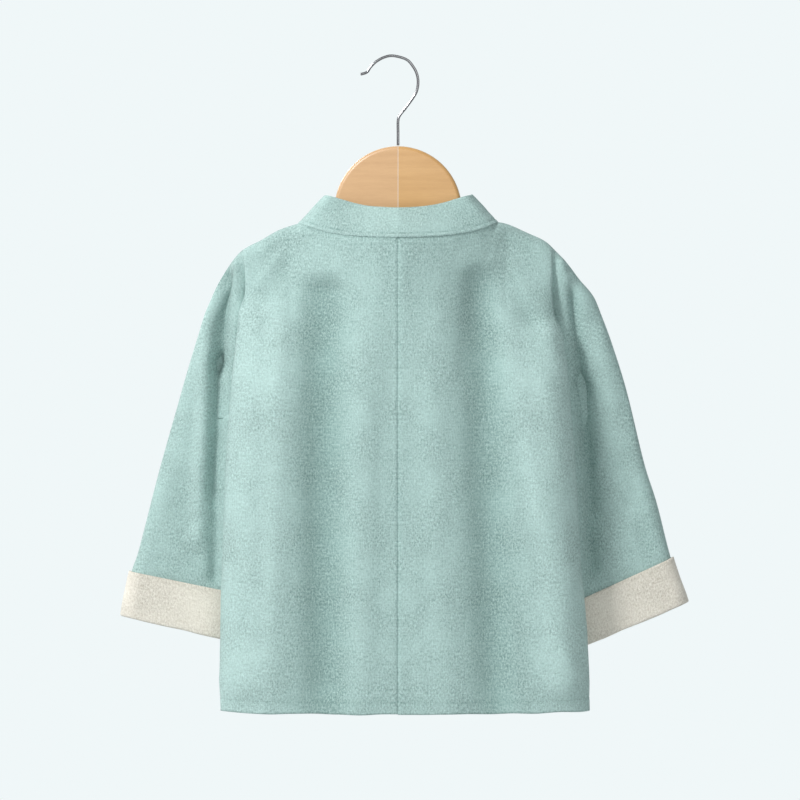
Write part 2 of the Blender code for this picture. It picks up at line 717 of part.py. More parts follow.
def wood_outline(side):
    """Half of the hanger's outline, from its top round the tip to its underside."""
    points = [
        (HUMP_RADIUS * math.sin(angle), HUMP_TOP_Z - HUMP_RADIUS * (1.0 - math.cos(angle)))
        for angle in (math.radians(12.0 * k) for k in range(8))
    ]
    points += [(x, wood_top(side, x)) for x in WOOD_TOP_AT]
    radius = ARM_TIP_HEIGHT / 2
    tip = Line(ARM_TIP[side].x - radius, ARM_TIP[side].z - radius + ARM_TIP_RISE)
    for angle in (math.radians(45.0 + 30.0 * k) for k in range(5)):
        points.append((tip.x + radius * math.sin(angle), tip.z + radius * math.cos(angle)))
    return points + list(WOOD_UNDERSIDE)


def make_hanger_half(side, where, bore):
    """Half of the hanger: its outline extruded and rounded, cut at the middle and bent back."""
    half = wood_outline(side)
    outline = half + [(-x, z) for x, z in half[-2:0:-1]]
    curve = bpy.data.curves.new("wood_outline", "CURVE")
    curve.dimensions = "2D"
    curve.fill_mode = "BOTH"
    curve.extrude = WOOD_THICK / 2
    line = curve.splines.new("POLY")
    line.points.add(len(outline) - 1)
    for point, (x, z) in zip(line.points, outline):
        point.co = (x, z, 0.0, 1.0)
    line.use_cyclic_u = True
    guide = bpy.data.objects.new("wood_outline", curve)
    where.objects.link(guide)
    graph = bpy.context.evaluated_depsgraph_get()
    mesh = bpy.data.meshes.new_from_object(guide.evaluated_get(graph))
    bpy.data.objects.remove(guide)
    bm = bmesh.new()
    bm.from_mesh(mesh)
    bpy.data.meshes.remove(mesh)
    bmesh.ops.remove_doubles(bm, verts=bm.verts, dist=1e-5)
    bmesh.ops.dissolve_limit(bm, angle_limit=0.01, verts=bm.verts, edges=bm.edges)
    for vert in bm.verts:
        vert.co = Vector((vert.co.x, -vert.co.z, vert.co.y))
    bmesh.ops.recalc_face_normals(bm, faces=bm.faces)
    rims = [edge for edge in bm.edges if edge.calc_face_angle(0.0) > math.radians(60.0)]
    bmesh.ops.bevel(
        bm, geom=rims, offset=WOOD_ROUNDING, segments=3, profile=0.5, affect="EDGES"
    )
    sign = SIDES[side]
    cut = bmesh.ops.bisect_plane(
        bm,
        geom=bm.verts[:] + bm.edges[:] + bm.faces[:],
        plane_co=(sign * SEAM_GAP / 2, 0.0, 0.0),
        plane_no=(sign, 0.0, 0.0),
        clear_inner=True,
    )
    open_edges = [item for item in cut["geom_cut"] if isinstance(item, bmesh.types.BMEdge)]
    bmesh.ops.contextual_create(bm, geom=open_edges)
    bmesh.ops.triangulate(bm, faces=bm.faces)
    for vert in bm.verts:
        vert.co.y += abs(vert.co.x) * BEND
    bmesh.ops.recalc_face_normals(bm, faces=bm.faces)
    obj = add_object("hanger_" + side, bm, where, WOOD)
    obj.data.set_sharp_from_angle(angle=math.radians(40.0))
    hole = obj.modifiers.new("stem_bore", "BOOLEAN")
    hole.operation = "DIFFERENCE"
    hole.object = bore


def make_bore(where):
    """The drill for the hook's stem, centred on the glue line."""
    bm = bmesh.new()
    bmesh.ops.create_cone(
        bm,
        cap_ends=True,
        segments=16,
        radius1=STEM_BORE_RADIUS,
        radius2=STEM_BORE_RADIUS,
        depth=2.0 * STEM_DEPTH,
    )
    obj = add_object("stem_drill", bm, where, STEEL)
    obj.location = (0.0, 0.0, HUMP_TOP_Z)
    obj.hide_render = True
    obj.display_type = "WIRE"
    return obj


def on_curve(before, here, after, beyond, t):
    """Between here and after, on a smooth curve through all four values."""
    turn = 2.0 * before - 5.0 * here + 4.0 * after - beyond
    twist = 3.0 * here - before - 3.0 * after + beyond
    return here + 0.5 * t * (after - before + t * (turn + t * twist))


def make_hook(where):
    curve = bpy.data.curves.new("hook", "CURVE")
    curve.dimensions = "3D"
    curve.bevel_depth = WIRE_RADIUS
    curve.bevel_resolution = 2
    curve.use_fill_caps = True
    points = []
    for k in range(len(HOOK_ROUTE) - 1):
        before, here = HOOK_ROUTE[max(k - 1, 0)], HOOK_ROUTE[k]
        after, beyond = HOOK_ROUTE[k + 1], HOOK_ROUTE[min(k + 2, len(HOOK_ROUTE) - 1)]
        for step in range(HOOK_STEPS):
            t = step / HOOK_STEPS
            points.append([on_curve(*values, t) for values in zip(before, here, after, beyond)])
    points.append(list(HOOK_ROUTE[-1]))
    line = curve.splines.new("POLY")
    line.points.add(len(points) - 1)
    for point, (x, z) in zip(line.points, points):
        point.co = (x, 0.0, z + WIRE_RADIUS, 1.0)
    obj = bpy.data.objects.new("hook", curve)
    where.objects.link(obj)
    curve.materials.append(material("hook_" + STEEL[0], *STEEL[1:]))


def make_stud(where):
    """A press stud between the laps: a cap under the over-lap and a socket on the under-lap."""
    ground = Vector((STUD_X, front_y(STUD_X, STUD_Z), STUD_Z))
    across = front_y(STUD_X + STUD_RADIUS, STUD_Z) - front_y(STUD_X - STUD_RADIUS, STUD_Z)
    up = front_y(STUD_X, STUD_Z + STUD_RADIUS) - front_y(STUD_X, STUD_Z - STUD_RADIUS)
    facing = Vector((-across, 2.0 * STUD_RADIUS, -up)).normalized()
    first = WALL + STUD_SEAT
    for name, start in (("stud_socket", first), ("stud_cap", first + STUD_PART + SEAM_GAP)):
        bm = bmesh.new()
        bmesh.ops.create_cone(
            bm, cap_ends=True, segments=20, radius1=STUD_RADIUS, radius2=STUD_RADIUS, depth=STUD_PART
        )
        obj = add_object(name, bm, where, STEEL)
        obj.data.set_sharp_from_angle(angle=math.radians(40.0))
        obj.rotation_euler = facing.to_track_quat("Z", "Y").to_euler()
        obj.location = ground + facing * (start + STUD_PART / 2)


def main():
    clear_scene()
    parts = collection(OBJECT_NAME)
    cutters = collection("cutters", shown=False)
    body = {}
    for side in SIDES:
        for panel in ("back", "front"):
            body[panel, side] = make_panel(panel + "_" + side, side, panel, parts)
        make_cuff(side, parts)
    fronts = {side: body["front", side] for side in SIDES}
    backs = {side: body["back", side] for side in SIDES}
    make_collar(collar_path(fronts, backs), parts)
    make_stud(parts)
    bore = make_bore(cutters)
    for side in SIDES:
        make_hanger_half(side, parts, bore)
    make_hook(parts)


main()
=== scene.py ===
# %% [markdown]
# # A child's hanfu-style jacket on a wooden hanger
# The jacket hangs with its back to the viewer. Its cloth is a washed linen and cotton mix with
# a fine crinkle, sewn from four panels that are each cut in one with a sleeve, a band collar
# and two cuffs turned back to their undyed side. Every piece is made in metres, in the same
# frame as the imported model, whose origin is the underside of the hook's crown.

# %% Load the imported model
import json
import math
from collections import namedtuple

import bmesh
import bpy
import numpy as np
from mathutils import Matrix, Vector

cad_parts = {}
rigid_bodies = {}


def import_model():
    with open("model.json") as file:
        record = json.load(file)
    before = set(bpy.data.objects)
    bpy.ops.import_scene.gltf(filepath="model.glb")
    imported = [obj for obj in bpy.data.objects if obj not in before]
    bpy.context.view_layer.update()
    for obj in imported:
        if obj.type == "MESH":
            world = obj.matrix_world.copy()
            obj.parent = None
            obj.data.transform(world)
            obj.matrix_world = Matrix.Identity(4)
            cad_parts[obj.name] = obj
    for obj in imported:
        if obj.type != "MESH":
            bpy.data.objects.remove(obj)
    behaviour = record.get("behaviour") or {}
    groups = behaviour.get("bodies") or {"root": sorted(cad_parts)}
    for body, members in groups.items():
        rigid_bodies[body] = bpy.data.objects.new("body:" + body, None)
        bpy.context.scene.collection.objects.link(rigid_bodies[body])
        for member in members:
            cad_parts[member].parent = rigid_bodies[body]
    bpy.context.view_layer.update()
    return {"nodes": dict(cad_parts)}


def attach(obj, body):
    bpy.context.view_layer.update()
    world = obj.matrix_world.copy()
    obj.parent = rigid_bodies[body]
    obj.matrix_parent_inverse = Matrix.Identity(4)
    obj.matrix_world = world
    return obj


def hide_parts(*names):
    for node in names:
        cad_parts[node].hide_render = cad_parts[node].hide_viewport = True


for leftover in list(bpy.data.objects):
    bpy.data.objects.remove(leftover)

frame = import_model()
print("nodes:", ", ".join(sorted(frame["nodes"])))

# %% [markdown]
# ## The camera, the light and the floor
# A hanging garment is seen straight on, from far enough away that its sides don't swing
# inwards, so the camera has a long lens. A large soft light from the upper left shapes the
# folds, and a weak one from the right keeps the far sleeve from going black. The room is pale
# behind the jacket and dimmer on the viewer's side, so that its light doesn't fill the folds.
# The floor lies well below the hem and shows only in views from above.

# %% Camera, lights and floor
VIEW_WIDTH = 0.736
VIEW_CENTRE = Vector((0.0018, -0.030, -0.3156))
LENS_MM = 300.0
SENSOR_MM = 36.0
FLOOR_Z = -1.05
FLOOR_RADIUS = 1.2
FLOOR_GREY = (0.56, 0.58, 0.58)
ROOM_DIM = (0.400, 0.420, 0.430)
ROOM_PALE = (0.870, 0.930, 0.940)

Lamp = namedtuple("Lamp", "name place size watts")
LAMPS = [
    Lamp("key_light", (-1.95, -1.75, 1.45), 0.7, 92.0),
    Lamp("fill_light", (0.60, -2.70, 0.50), 1.4, 19.0),
    Lamp("front_light", (-1.70, 1.90, 1.20), 0.9, 40.0),
]


def make_camera():
    data = bpy.data.cameras.new("camera")
    data.lens = LENS_MM
    data.sensor_width = SENSOR_MM
    distance = VIEW_WIDTH * LENS_MM / SENSOR_MM
    data.clip_end = 4.0 * distance
    camera = bpy.data.objects.new("camera", data)
    camera.location = VIEW_CENTRE + Vector((0.0, -distance, 0.0))
    camera.rotation_euler = (math.radians(90.0), 0.0, 0.0)
    bpy.context.scene.collection.objects.link(camera)
    bpy.context.scene.camera = camera
    return distance


def make_lamp(lamp):
    data = bpy.data.lights.new(lamp.name, "AREA")
    data.size = lamp.size
    data.energy = lamp.watts
    made = bpy.data.objects.new(lamp.name, data)
    made.location = lamp.place
    made.rotation_euler = (VIEW_CENTRE - made.location).to_track_quat("-Z", "Y").to_euler()
    bpy.context.scene.collection.objects.link(made)


def make_world():
    world = bpy.data.worlds.new("pale_room")
    world.use_nodes = True
    tree = world.node_tree
    place = tree.nodes.new("ShaderNodeTexCoord")
    parts = tree.nodes.new("ShaderNodeSeparateXYZ")
    ramp = tree.nodes.new("ShaderNodeValToRGB")
    for element, position, colour in zip(ramp.color_ramp.elements, (0.05, 0.80), (ROOM_DIM, ROOM_PALE)):
        element.position = position
        element.color = (*colour, 1.0)
    tree.links.new(place.outputs["Generated"], parts.inputs["Vector"])
    tree.links.new(parts.outputs["Y"], ramp.inputs["Fac"])
    tree.links.new(ramp.outputs["Color"], tree.nodes["Background"].inputs["Color"])
    bpy.context.scene.world = world


def make_floor():
    bm = bmesh.new()
    bmesh.ops.create_circle(bm, cap_ends=True, segments=96, radius=FLOOR_RADIUS)
    mesh = bpy.data.meshes.new("floor")
    bm.to_mesh(mesh)
    bm.free()
    floor = bpy.data.objects.new("floor", mesh)
    floor.location.z = FLOOR_Z
    bpy.context.scene.collection.objects.link(floor)
    paint = bpy.data.materials.new("floor_paint")
    paint.use_nodes = True
    paint.node_tree.nodes["Principled BSDF"].inputs["Base Color"].default_value = (*FLOOR_GREY, 1.0)
    paint.node_tree.nodes["Principled BSDF"].inputs["Roughness"].default_value = 0.9
    mesh.materials.append(paint)


print("camera stands", round(make_camera(), 2), "m away")
for lamp in LAMPS:
    make_lamp(lamp)
make_world()
make_floor()
bpy.context.scene.view_settings.view_transform = "Standard"

# %% [markdown]
# ## Materials written as sums
# A material is a small sum over the surface: a colour, plus a bit of noise, times a mask.
# Python can write it that way if a socket knows how to add and multiply, so one small class
# holds a socket, and each operator adds a Math node. Every other node comes from one method.

# %% A socket with operators, and a material that adds nodes


class Wire:
    """One output of a node. An operator on it adds a Math node."""

    def __init__(self, look, socket):
        self.look = look
        self.socket = socket

    def math(self, operation, first, second):
        return self.look.node("ShaderNodeMath", {"operation": operation}, {0: first, 1: second})

    def __add__(self, other):
        return self.math("ADD", self, other)

    def __radd__(self, other):
        return self.math("ADD", other, self)

    def __sub__(self, other):
        return self.math("SUBTRACT", self, other)

    def __rsub__(self, other):
        return self.math("SUBTRACT", other, self)

    def __mul__(self, other):
        return self.math("MULTIPLY", self, other)

    def __rmul__(self, other):
        return self.math("MULTIPLY", other, self)

    def __pow__(self, other):
        return self.math("POWER", self, other)

    def __abs__(self):
        return self.math("ABSOLUTE", self, 0.0)

    def sine(self):
        return self.math("SINE", self, 0.0)


class Look:
    """A material whose nodes are added in words."""

    def __init__(self, name, roughness=0.5, metallic=0.0):
        self.material = bpy.data.materials.new(name)
        self.material.use_nodes = True
        self.tree = self.material.node_tree
        self.shader = self.tree.nodes["Principled BSDF"]
        self.constant("Roughness", roughness)
        self.constant("Metallic", metallic)

    def constant(self, socket, value):
        self.shader.inputs[socket].default_value = value

    def feed(self, socket, wire):
        self.tree.links.new(wire.socket, self.shader.inputs[socket])

    def node(self, kind, settings=None, inputs=None, output=0):
        """Adds a node: its settings first, then the values or wires of its sockets."""
        made = self.tree.nodes.new(kind)
        for name, value in (settings or {}).items():
            if name == "stops":
                self.stops(made.color_ramp, value)
            else:
                setattr(made, name, value)
        for key, value in (inputs or {}).items():
            if isinstance(value, Wire):
                self.tree.links.new(value.socket, made.inputs[key])
            else:
                made.inputs[key].default_value = value
        return Wire(self, made.outputs[output])

    def stops(self, ramp, stops):
        """Sets a ramp's stops, each a place and a colour."""
        while len(ramp.elements) < len(stops):
            ramp.elements.new(1.0)
        for element, (place, colour) in zip(ramp.elements, stops):
            element.position = place
            element.color = (*colour, 1.0)

    def noise(self, vector, scale, detail=3.0, roughness=0.55):
        values = {"Vector": vector, "Scale": scale, "Detail": detail, "Roughness": roughness}
        return self.node("ShaderNodeTexNoise", {"noise_dimensions": "3D"}, values)

    def stretched(self, vector, scale):
        """The same coordinates, stretched by a scale for each axis."""
        return self.node("ShaderNodeMapping", {}, {"Vector": vector, "Scale": scale})

    def tint(self, factor, low, high):
        """Goes from one colour to another as the factor goes from 0 to 1."""
        return self.node("ShaderNodeValToRGB", {"stops": [(0.0, low), (1.0, high)]}, {"Fac": factor})

    def bump(self, height, strength, distance):
        values = {"Height": height, "Strength": strength, "Distance": distance}
        return self.node("ShaderNodeBump", {}, values)


print("a material's maths can now be written as Python sums")

# %% [markdown]
# ## Linen and cotton, washed
# The cloth is a plain weave of uneven yarns. Washing has crinkled it like crepe, so it
# sparkles with small light and dark grains even where it lies flat. A woven grid alone would
# be too fine to see from here. What shows is the crinkle: rough noise, a little longer along
# the fall of the cloth than across it, stronger in some places than in others. Its ridges
# are paler, as washed-out ridges are, and the same value lifts the surface. Beside a seam,
# along a row of stitches and down in a fold, the cloth is painted darker as painted shade.
# On a fold's ridge it is painted paler as a painted highlight. The mesh marks both with an
# attribute of its own.

# %% The jacket's cloth and the cuffs' cloth
SAGE_LOW = (0.196, 0.314, 0.292)
SAGE_HIGH = (0.556, 0.744, 0.710)
CREAM_LOW = (0.530, 0.480, 0.395)
CREAM_HIGH = (0.960, 0.930, 0.840)
GRAIN_PER_M = 680.0
YARN_PER_M = 1500.0
# How strongly the 'seam' attribute's painted shade darkens the cloth, and how strongly its painted highlight pales it
PAINTED_SHADE_STRENGTH = 0.13


def make_cloth(name, low, high, grain_lift):
    look = Look(name, roughness=0.88)
    look.constant("Specular IOR Level", 0.25)
    look.constant("Sheen Weight", 0.12)
    look.constant("Sheen Roughness", 0.45)
    place = look.node("ShaderNodeUVMap", {"uv_map": "cloth"})
    # The 'seam' attribute holds painted shade, darker beside seams, along stitches and in fold troughs, and painted
    # highlight, paler on fold ridges
    seam = look.node("ShaderNodeAttribute", {"attribute_name": "seam"}, {}, output=2)
    grain = look.noise(look.stretched(place, (1.0, 0.62, 1.0)), GRAIN_PER_M, detail=5.0, roughness=0.72) - 0.5
    strong = look.noise(place, 24.0, detail=2.0)
    crinkle = grain * (strong * 2.2 - 0.1)
    wide = look.noise(look.stretched(place, (1.0, 0.3, 1.0)), 22.0, detail=2.0) - 0.5
    across = look.noise(look.stretched(place, (1.0, 0.05, 1.0)), YARN_PER_M, detail=1.0)
    along = look.noise(look.stretched(place, (0.05, 1.0, 1.0)), YARN_PER_M, detail=1.0)
    yarn = (across + along) * 0.5 - 0.5
    shade = crinkle * 2.3 + wide * 0.15 + yarn * 0.8 + 0.5 - seam * PAINTED_SHADE_STRENGTH
    look.feed("Base Color", look.tint(shade, low, high))
    look.feed("Roughness", 0.96 - shade * 0.16)
    height = crinkle * grain_lift + yarn * 0.25
    look.feed("Normal", look.bump(height, 0.9, 0.0016))
    return look.material


SAGE = make_cloth("linen_cotton", SAGE_LOW, SAGE_HIGH, 1.0)
CREAM = make_cloth("facing_cotton", CREAM_LOW, CREAM_HIGH, 1.1)


def make_thread(name, colour):
    look = Look(name, roughness=0.6)
    look.constant("Sheen Weight", 0.1)
    place = look.node("ShaderNodeTexCoord", {}, {}, output=3)
    twist = look.noise(place, 2400.0, detail=1.0)
    look.feed("Base Color", look.tint(twist, tuple(0.72 * part for part in colour), colour))
    return look.material


THREAD = make_thread("sewing_thread", (0.250, 0.390, 0.362))
print("cloth materials:", SAGE.name, CREAM.name, THREAD.name)

# %% [markdown]
# ## The jacket's sizes
# The hung shape is worked out from a few tables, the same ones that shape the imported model:
# the outline of the shoulder and sleeve, the half widths out to the fold at the body's side,
# how deep the body is, and where its seams lie. Between its rows a table is read along a
# smooth curve, so a short table is enough for a soft form.

# %% Sizes and tables of the hung jacket
WALL = 0.0016
CLOTH_THICK = 0.0010
SEAM_GAP = 0.0003
COLLAR_WALL = 0.0022
COLLAR_WIDTH = 0.034
COLLAR_EASE = 0.0010
COLLAR_EASE_REACH = 0.016
COLLAR_SETTLES_IN = 0.060
COLLAR_LEAN_MIDDLE = np.array((0.0, 0.62, 0.785))
COLLAR_LEAN_POINT = np.array((-0.68, 0.0, 0.73))
NECK_POINT_X = 0.091
NECK_POINT_Z = -0.1526
NECK_BACK_Z = -0.1655
HEM_Z = -0.6050
HEM_LIFT_AT_SIDE = 0.0030
SIDE_REACH = 0.170
UNDERARM_Z = -0.330
UNDERARM_EASE = 0.0014
UNDERARM_REACH = 0.020
UPPER_ENDS_Z = -0.165
UPPER_EASE = 0.170
SLIT_TOP_Z = -0.574
SLIT_EASE = 0.020
SLIT_GAPE = {"left": 0.0040, "right": 0.0075}
SLIT_FORWARDS = 0.0030
OVER_LAP_X = 0.104
UNDER_LAP_X = -0.050
LAP_LIFT = 0.0045
LAP_LIFT_STARTS_X = -0.108
LAP_LIFT_FULL_X = -0.082
BEND = math.tan(math.radians(7.0))
SHOULDER_ROLL = 0.009
SLEEVE_ROLL = 0.011
Upper = namedtuple("Upper", "depth neck_depth")
UPPER_DEPTH = {"back": Upper(0.011, 0.020), "front": Upper(0.013, 0.017)}
NECK_SPREAD = 0.100
BACK_FULLNESS = 2.6
FRONT_FULLNESS = 3.2
CREASE_KEEP = 6
WRAP_LATE = 1.7
WRAP_EARLY = 0.85
SLEEVE_FULL_BY = 0.5
SLEEVE_TOP_OUT = 0.018
SLEEVE_SEAM_TURNS_LATE = 4
SIDES = {"left": -1.0, "right": 1.0}

Line = namedtuple("Line", "x z")
OUTER_LINE = {
    "left": [
        Line(0.0900, -0.1510), Line(0.1104, -0.1578), Line(0.1283, -0.1678),
        Line(0.1395, -0.1733), Line(0.1484, -0.1800), Line(0.1607, -0.1968),
        Line(0.1730, -0.2202), Line(0.1900, -0.2693), Line(0.2064, -0.3256),
        Line(0.2229, -0.3843), Line(0.2417, -0.4570), Line(0.2478, -0.4750),
        Line(0.2567, -0.5170),
    ],
    "right": [
        Line(0.0900, -0.1500), Line(0.1016, -0.1524), Line(0.1192, -0.1601),
        Line(0.1368, -0.1684), Line(0.1485, -0.1794), Line(0.1579, -0.1895),
        Line(0.1680, -0.2030), Line(0.1820, -0.2200), Line(0.1895, -0.2380),
        Line(0.1985, -0.2622), Line(0.2125, -0.3068), Line(0.2291, -0.3749),
        Line(0.2406, -0.4112), Line(0.2539, -0.4628), Line(0.2690, -0.5050),
    ],
}
Edge = namedtuple("Edge", "z left right")
BODY_EDGE = [
    Edge(-0.175, 0.1430, 0.1425), Edge(-0.220, 0.1420, 0.1440), Edge(-0.270, 0.1470, 0.1510),
    Edge(-0.326, 0.1530, 0.1570), Edge(-0.385, 0.1570, 0.1630), Edge(-0.463, 0.1600, 0.1670),
    Edge(-0.536, 0.1610, 0.1730), Edge(-0.604, 0.1625, 0.1766),
]
Depth = namedtuple("Depth", "z back edge front")
BODY_DEPTH = [
    Depth(-0.160, -0.031, 0.006, 0.030), Depth(-0.250, -0.031, 0.003, 0.031),
    Depth(-0.330, -0.031, -0.002, 0.031), Depth(-0.450, -0.032, -0.003, 0.030),
    Depth(-0.604, -0.033, -0.003, 0.030),
]
Fold = namedtuple("Fold", "z inwards forwards")
SIDE_SEAM = [
    Fold(-0.176, -0.0050, 0.0080), Fold(-0.205, 0.0015, 0.0120), Fold(-0.250, 0.0085, 0.0180),
    Fold(-0.330, 0.0100, 0.0200), Fold(-0.365, 0.0085, 0.0150), Fold(-0.430, 0.0055, 0.0100),
    Fold(-0.604, 0.0050, 0.0080),
]
SLEEVE_SEAM = [
    Fold(-0.330, 0.0100, 0.0200), Fold(-0.360, 0.0085, 0.0240), Fold(-0.420, 0.0070, 0.0275),
    Fold(-0.545, 0.0070, 0.0300),
]
Sleeve = namedtuple("Sleeve", "z outer_y depth gape")
SLEEVE_DEPTH = [
    Sleeve(-0.176, 0.0195, 0.0080, 0.0210), Sleeve(-0.230, 0.0230, 0.0075, 0.0150),
    Sleeve(-0.285, 0.0255, 0.0060, 0.0090), Sleeve(-0.330, 0.0270, 0.0045, 0.0012),
    Sleeve(-0.400, 0.0290, 0.0085, 0.0003), Sleeve(-0.520, 0.0310, 0.0100, 0.0003),
]
Wave = namedtuple("Wave", "start end along width depth")
SLEEVE_WAVES = [
    Wave(0.34, 0.18, 0.35, 0.055, 0.0030), Wave(0.62, 0.50, 0.60, 0.050, -0.0025),
    Wave(0.80, 0.70, 0.45, 0.045, 0.0030),
]
CUFF_DEPTH = 0.043
CUFF_SEAM_AT = 0.14
CUFF_STARTS_AT = 0.15
CUFF_TURNS_AT = 0.95
CUFF_LAY = 0.0042
CUFF_INNER = {
    "left": (Line(0.1535, -0.4940), Line(0.1535, -0.5400)),
    "right": (Line(0.1620, -0.5040), Line(0.1680, -0.5460)),
}
CUFF_OUTER = {
    "left": (Line(0.2478, -0.4750), Line(0.2567, -0.5170)),
    "right": (Line(0.2539, -0.4628), Line(0.2690, -0.5050)),
}
print("outline rows:", len(OUTER_LINE["left"]), "left and", len(OUTER_LINE["right"]), "right")

# %% [markdown]
# ## Large folds
# The back falls in two broad troughs under the neck, with soft swells beside them, and
# drags down from each shoulder. Each fold is a row: where it starts and ends, how wide it
# is and how deep. A positive depth is a trough and a negative one a ridge.

# %% The large folds, and the small ones that lie on them
Crease = namedtuple("Crease", "panel x_top z_top x_end z_end width depth")
CREASES = [
    Crease("back", -0.072, -0.185, -0.071, -0.640, 0.0190, 0.0060),
    Crease("back", -0.034, -0.230, -0.040, -0.640, 0.0170, -0.0030),
    Crease("back", -0.110, -0.200, -0.122, -0.640, 0.0170, -0.0030),
    Crease("back", 0.073, -0.180, 0.090, -0.640, 0.0200, 0.0060),
    Crease("back", 0.030, -0.215, 0.042, -0.640, 0.0170, -0.0025),
    Crease("back", 0.110, -0.205, 0.158, -0.350, 0.0100, 0.0045),
    Crease("back", 0.088, -0.195, 0.140, -0.460, 0.0120, -0.0040),
    Crease("front", -0.078, -0.215, -0.084, -0.640, 0.0200, 0.0050),
    Crease("front", -0.115, -0.215, -0.122, -0.640, 0.0160, -0.0030),
    Crease("front", 0.082, -0.390, 0.092, -0.640, 0.0180, 0.0030),
    Crease("front", 0.010, -0.330, 0.014, -0.640, 0.0240, 0.0035),
]
CREASE_FADE = 0.050
# The small creases lie on the body and the sleeves alike, and fade within a shorter way
SMALL_CREASES = [
    Crease("back", -0.0680, -0.1950, -0.0610, -0.6400, 0.0210, 0.0075),
    Crease("back", -0.1260, -0.2150, -0.1450, -0.6400, 0.0260, -0.0065),
    Crease("back", 0.0760, -0.1850, 0.0920, -0.6400, 0.0190, 0.0050),
    Crease("back", 0.1340, -0.2350, 0.1540, -0.6400, 0.0190, -0.0085),
    Crease("back", -0.1560, -0.1850, -0.1660, -0.3000, 0.0070, 0.0095),
    Crease("back", -0.1670, -0.2650, -0.1700, -0.5000, 0.0070, 0.0065),
    Crease("back", -0.1760, -0.2050, -0.1870, -0.4600, 0.0075, -0.0042),
    Crease("back", 0.1600, -0.2000, 0.1700, -0.3200, 0.0060, 0.0060),
    Crease("back", 0.1720, -0.2850, 0.1800, -0.4900, 0.0085, 0.0078),
    Crease("back", 0.0280, -0.3330, 0.0500, -0.2990, 0.0030, 0.0009),
    Crease("back", 0.0360, -0.3400, 0.0560, -0.3120, 0.0026, -0.0006),
    Crease("back", -0.1200, -0.2200, -0.1260, -0.5600, 0.0080, 0.0012),
    Crease("back", -0.0950, -0.1750, -0.1340, -0.2500, 0.0070, 0.0012),
    Crease("back", -0.1050, -0.1720, -0.1410, -0.2280, 0.0055, -0.0010),
    Crease("back", 0.0980, -0.1700, 0.1300, -0.2400, 0.0070, -0.0010),
    Crease("back", 0.1380, -0.2000, 0.1500, -0.2900, 0.0050, 0.0012),
    Crease("back", 0.1000, -0.4300, 0.1220, -0.5800, 0.0080, 0.0010),
    Crease("back", 0.0150, -0.4200, 0.0230, -0.6300, 0.0090, -0.0009),
    Crease("back", -0.0160, -0.3000, -0.0180, -0.5600, 0.0070, 0.0007),
    Crease("back", 0.1400, -0.5100, 0.1640, -0.5900, 0.0070, -0.0010),
    Crease("back", -0.1500, -0.4400, -0.1320, -0.5300, 0.0060, 0.0009),
    Crease("back", -0.1590, -0.2070, -0.1760, -0.2750, 0.0080, 0.0030),
    Crease("back", -0.1620, -0.2600, -0.1740, -0.4200, 0.0075, 0.0028),
    Crease("back", -0.1830, -0.2500, -0.2060, -0.4000, 0.0090, -0.0015),
    Crease("back", -0.2280, -0.4240, -0.1740, -0.4000, 0.0045, 0.0014),
    Crease("back", -0.2340, -0.4460, -0.1900, -0.4330, 0.0040, -0.0010),
    Crease("back", -0.2060, -0.3520, -0.1800, -0.3260, 0.0050, 0.0012),
    Crease("back", 0.1600, -0.2080, 0.1730, -0.3200, 0.0065, 0.0028),
    Crease("back", 0.1660, -0.2800, 0.1850, -0.4350, 0.0080, 0.0036),
    Crease("back", 0.1850, -0.2400, 0.2060, -0.3700, 0.0080, -0.0016),
    Crease("back", 0.2180, -0.4200, 0.2360, -0.4700, 0.0050, 0.0016),
    Crease("back", 0.1900, -0.3900, 0.2200, -0.4350, 0.0060, -0.0014),
    Crease("back", 0.2050, -0.3450, 0.1850, -0.3900, 0.0050, 0.0012),
    Crease("front", 0.0300, -0.2400, 0.0620, -0.3900, 0.0110, 0.0035),
    Crease("front", 0.0520, -0.2000, 0.0900, -0.3600, 0.0100, -0.0030),
    Crease("front", -0.0180, -0.4300, -0.0250, -0.6400, 0.0150, 0.0042),
    Crease("front", 0.0450, -0.4200, 0.0520, -0.6400, 0.0140, -0.0036),
    Crease("front", 0.1050, -0.3100, 0.1160, -0.6400, 0.0140, 0.0050),
    Crease("front", 0.1350, -0.2600, 0.1500, -0.6400, 0.0120, -0.0040),
    Crease("front", -0.1100, -0.2600, -0.1180, -0.6400, 0.0130, 0.0046),
    Crease("front", -0.1380, -0.3200, -0.1440, -0.6000, 0.0110, -0.0034),
    Crease("front", 0.0980, -0.4600, 0.1480, -0.3700, 0.0070, -0.0022),
    Crease("front", -0.1760, -0.2100, -0.1840, -0.4400, 0.0070, -0.0030),
    Crease("front", 0.1770, -0.2100, 0.1900, -0.4300, 0.0070, -0.0030),
    Crease("front", -0.0980, -0.1760, -0.1300, -0.2500, 0.0070, 0.0010),
    Crease("front", -0.1640, -0.2300, -0.1800, -0.3700, 0.0080, 0.0024),
    Crease("front", -0.2200, -0.4100, -0.1800, -0.3850, 0.0050, 0.0013),
    Crease("front", -0.1960, -0.3100, -0.1760, -0.2900, 0.0050, -0.0011),
    Crease("front", -0.0400, -0.4200, -0.0460, -0.5900, 0.0080, 0.0009),
    Crease("front", 0.0620, -0.4400, 0.0640, -0.5900, 0.0070, -0.0008),
    Crease("front", 0.1620, -0.2200, 0.1810, -0.3500, 0.0080, 0.0024),
    Crease("front", 0.2140, -0.3900, 0.1860, -0.3600, 0.0050, 0.0013),
    Crease("front", 0.2320, -0.4300, 0.1960, -0.4180, 0.0045, -0.0010),
    Crease("front", 0.1150, -0.3800, 0.1280, -0.5500, 0.0090, 0.0010),
]
print(len(CREASES), "large folds and", len(SMALL_CREASES), "small creases")

# %% [markdown]
# ## The shape of the hung cloth
# Each function below answers one question about the hanging jacket: how high its shoulder
# is at some width, how far a place lies from the outline, how deep the back or the front
# is there. They take whole columns of places at once, which numpy works out quickly.

# %% Reading the tables


def between(a, b, t):
    return a + (b - a) * t


def smooth(t):
    t = np.clip(t, 0.0, 1.0)
    return t * t * (3.0 - 2.0 * t)


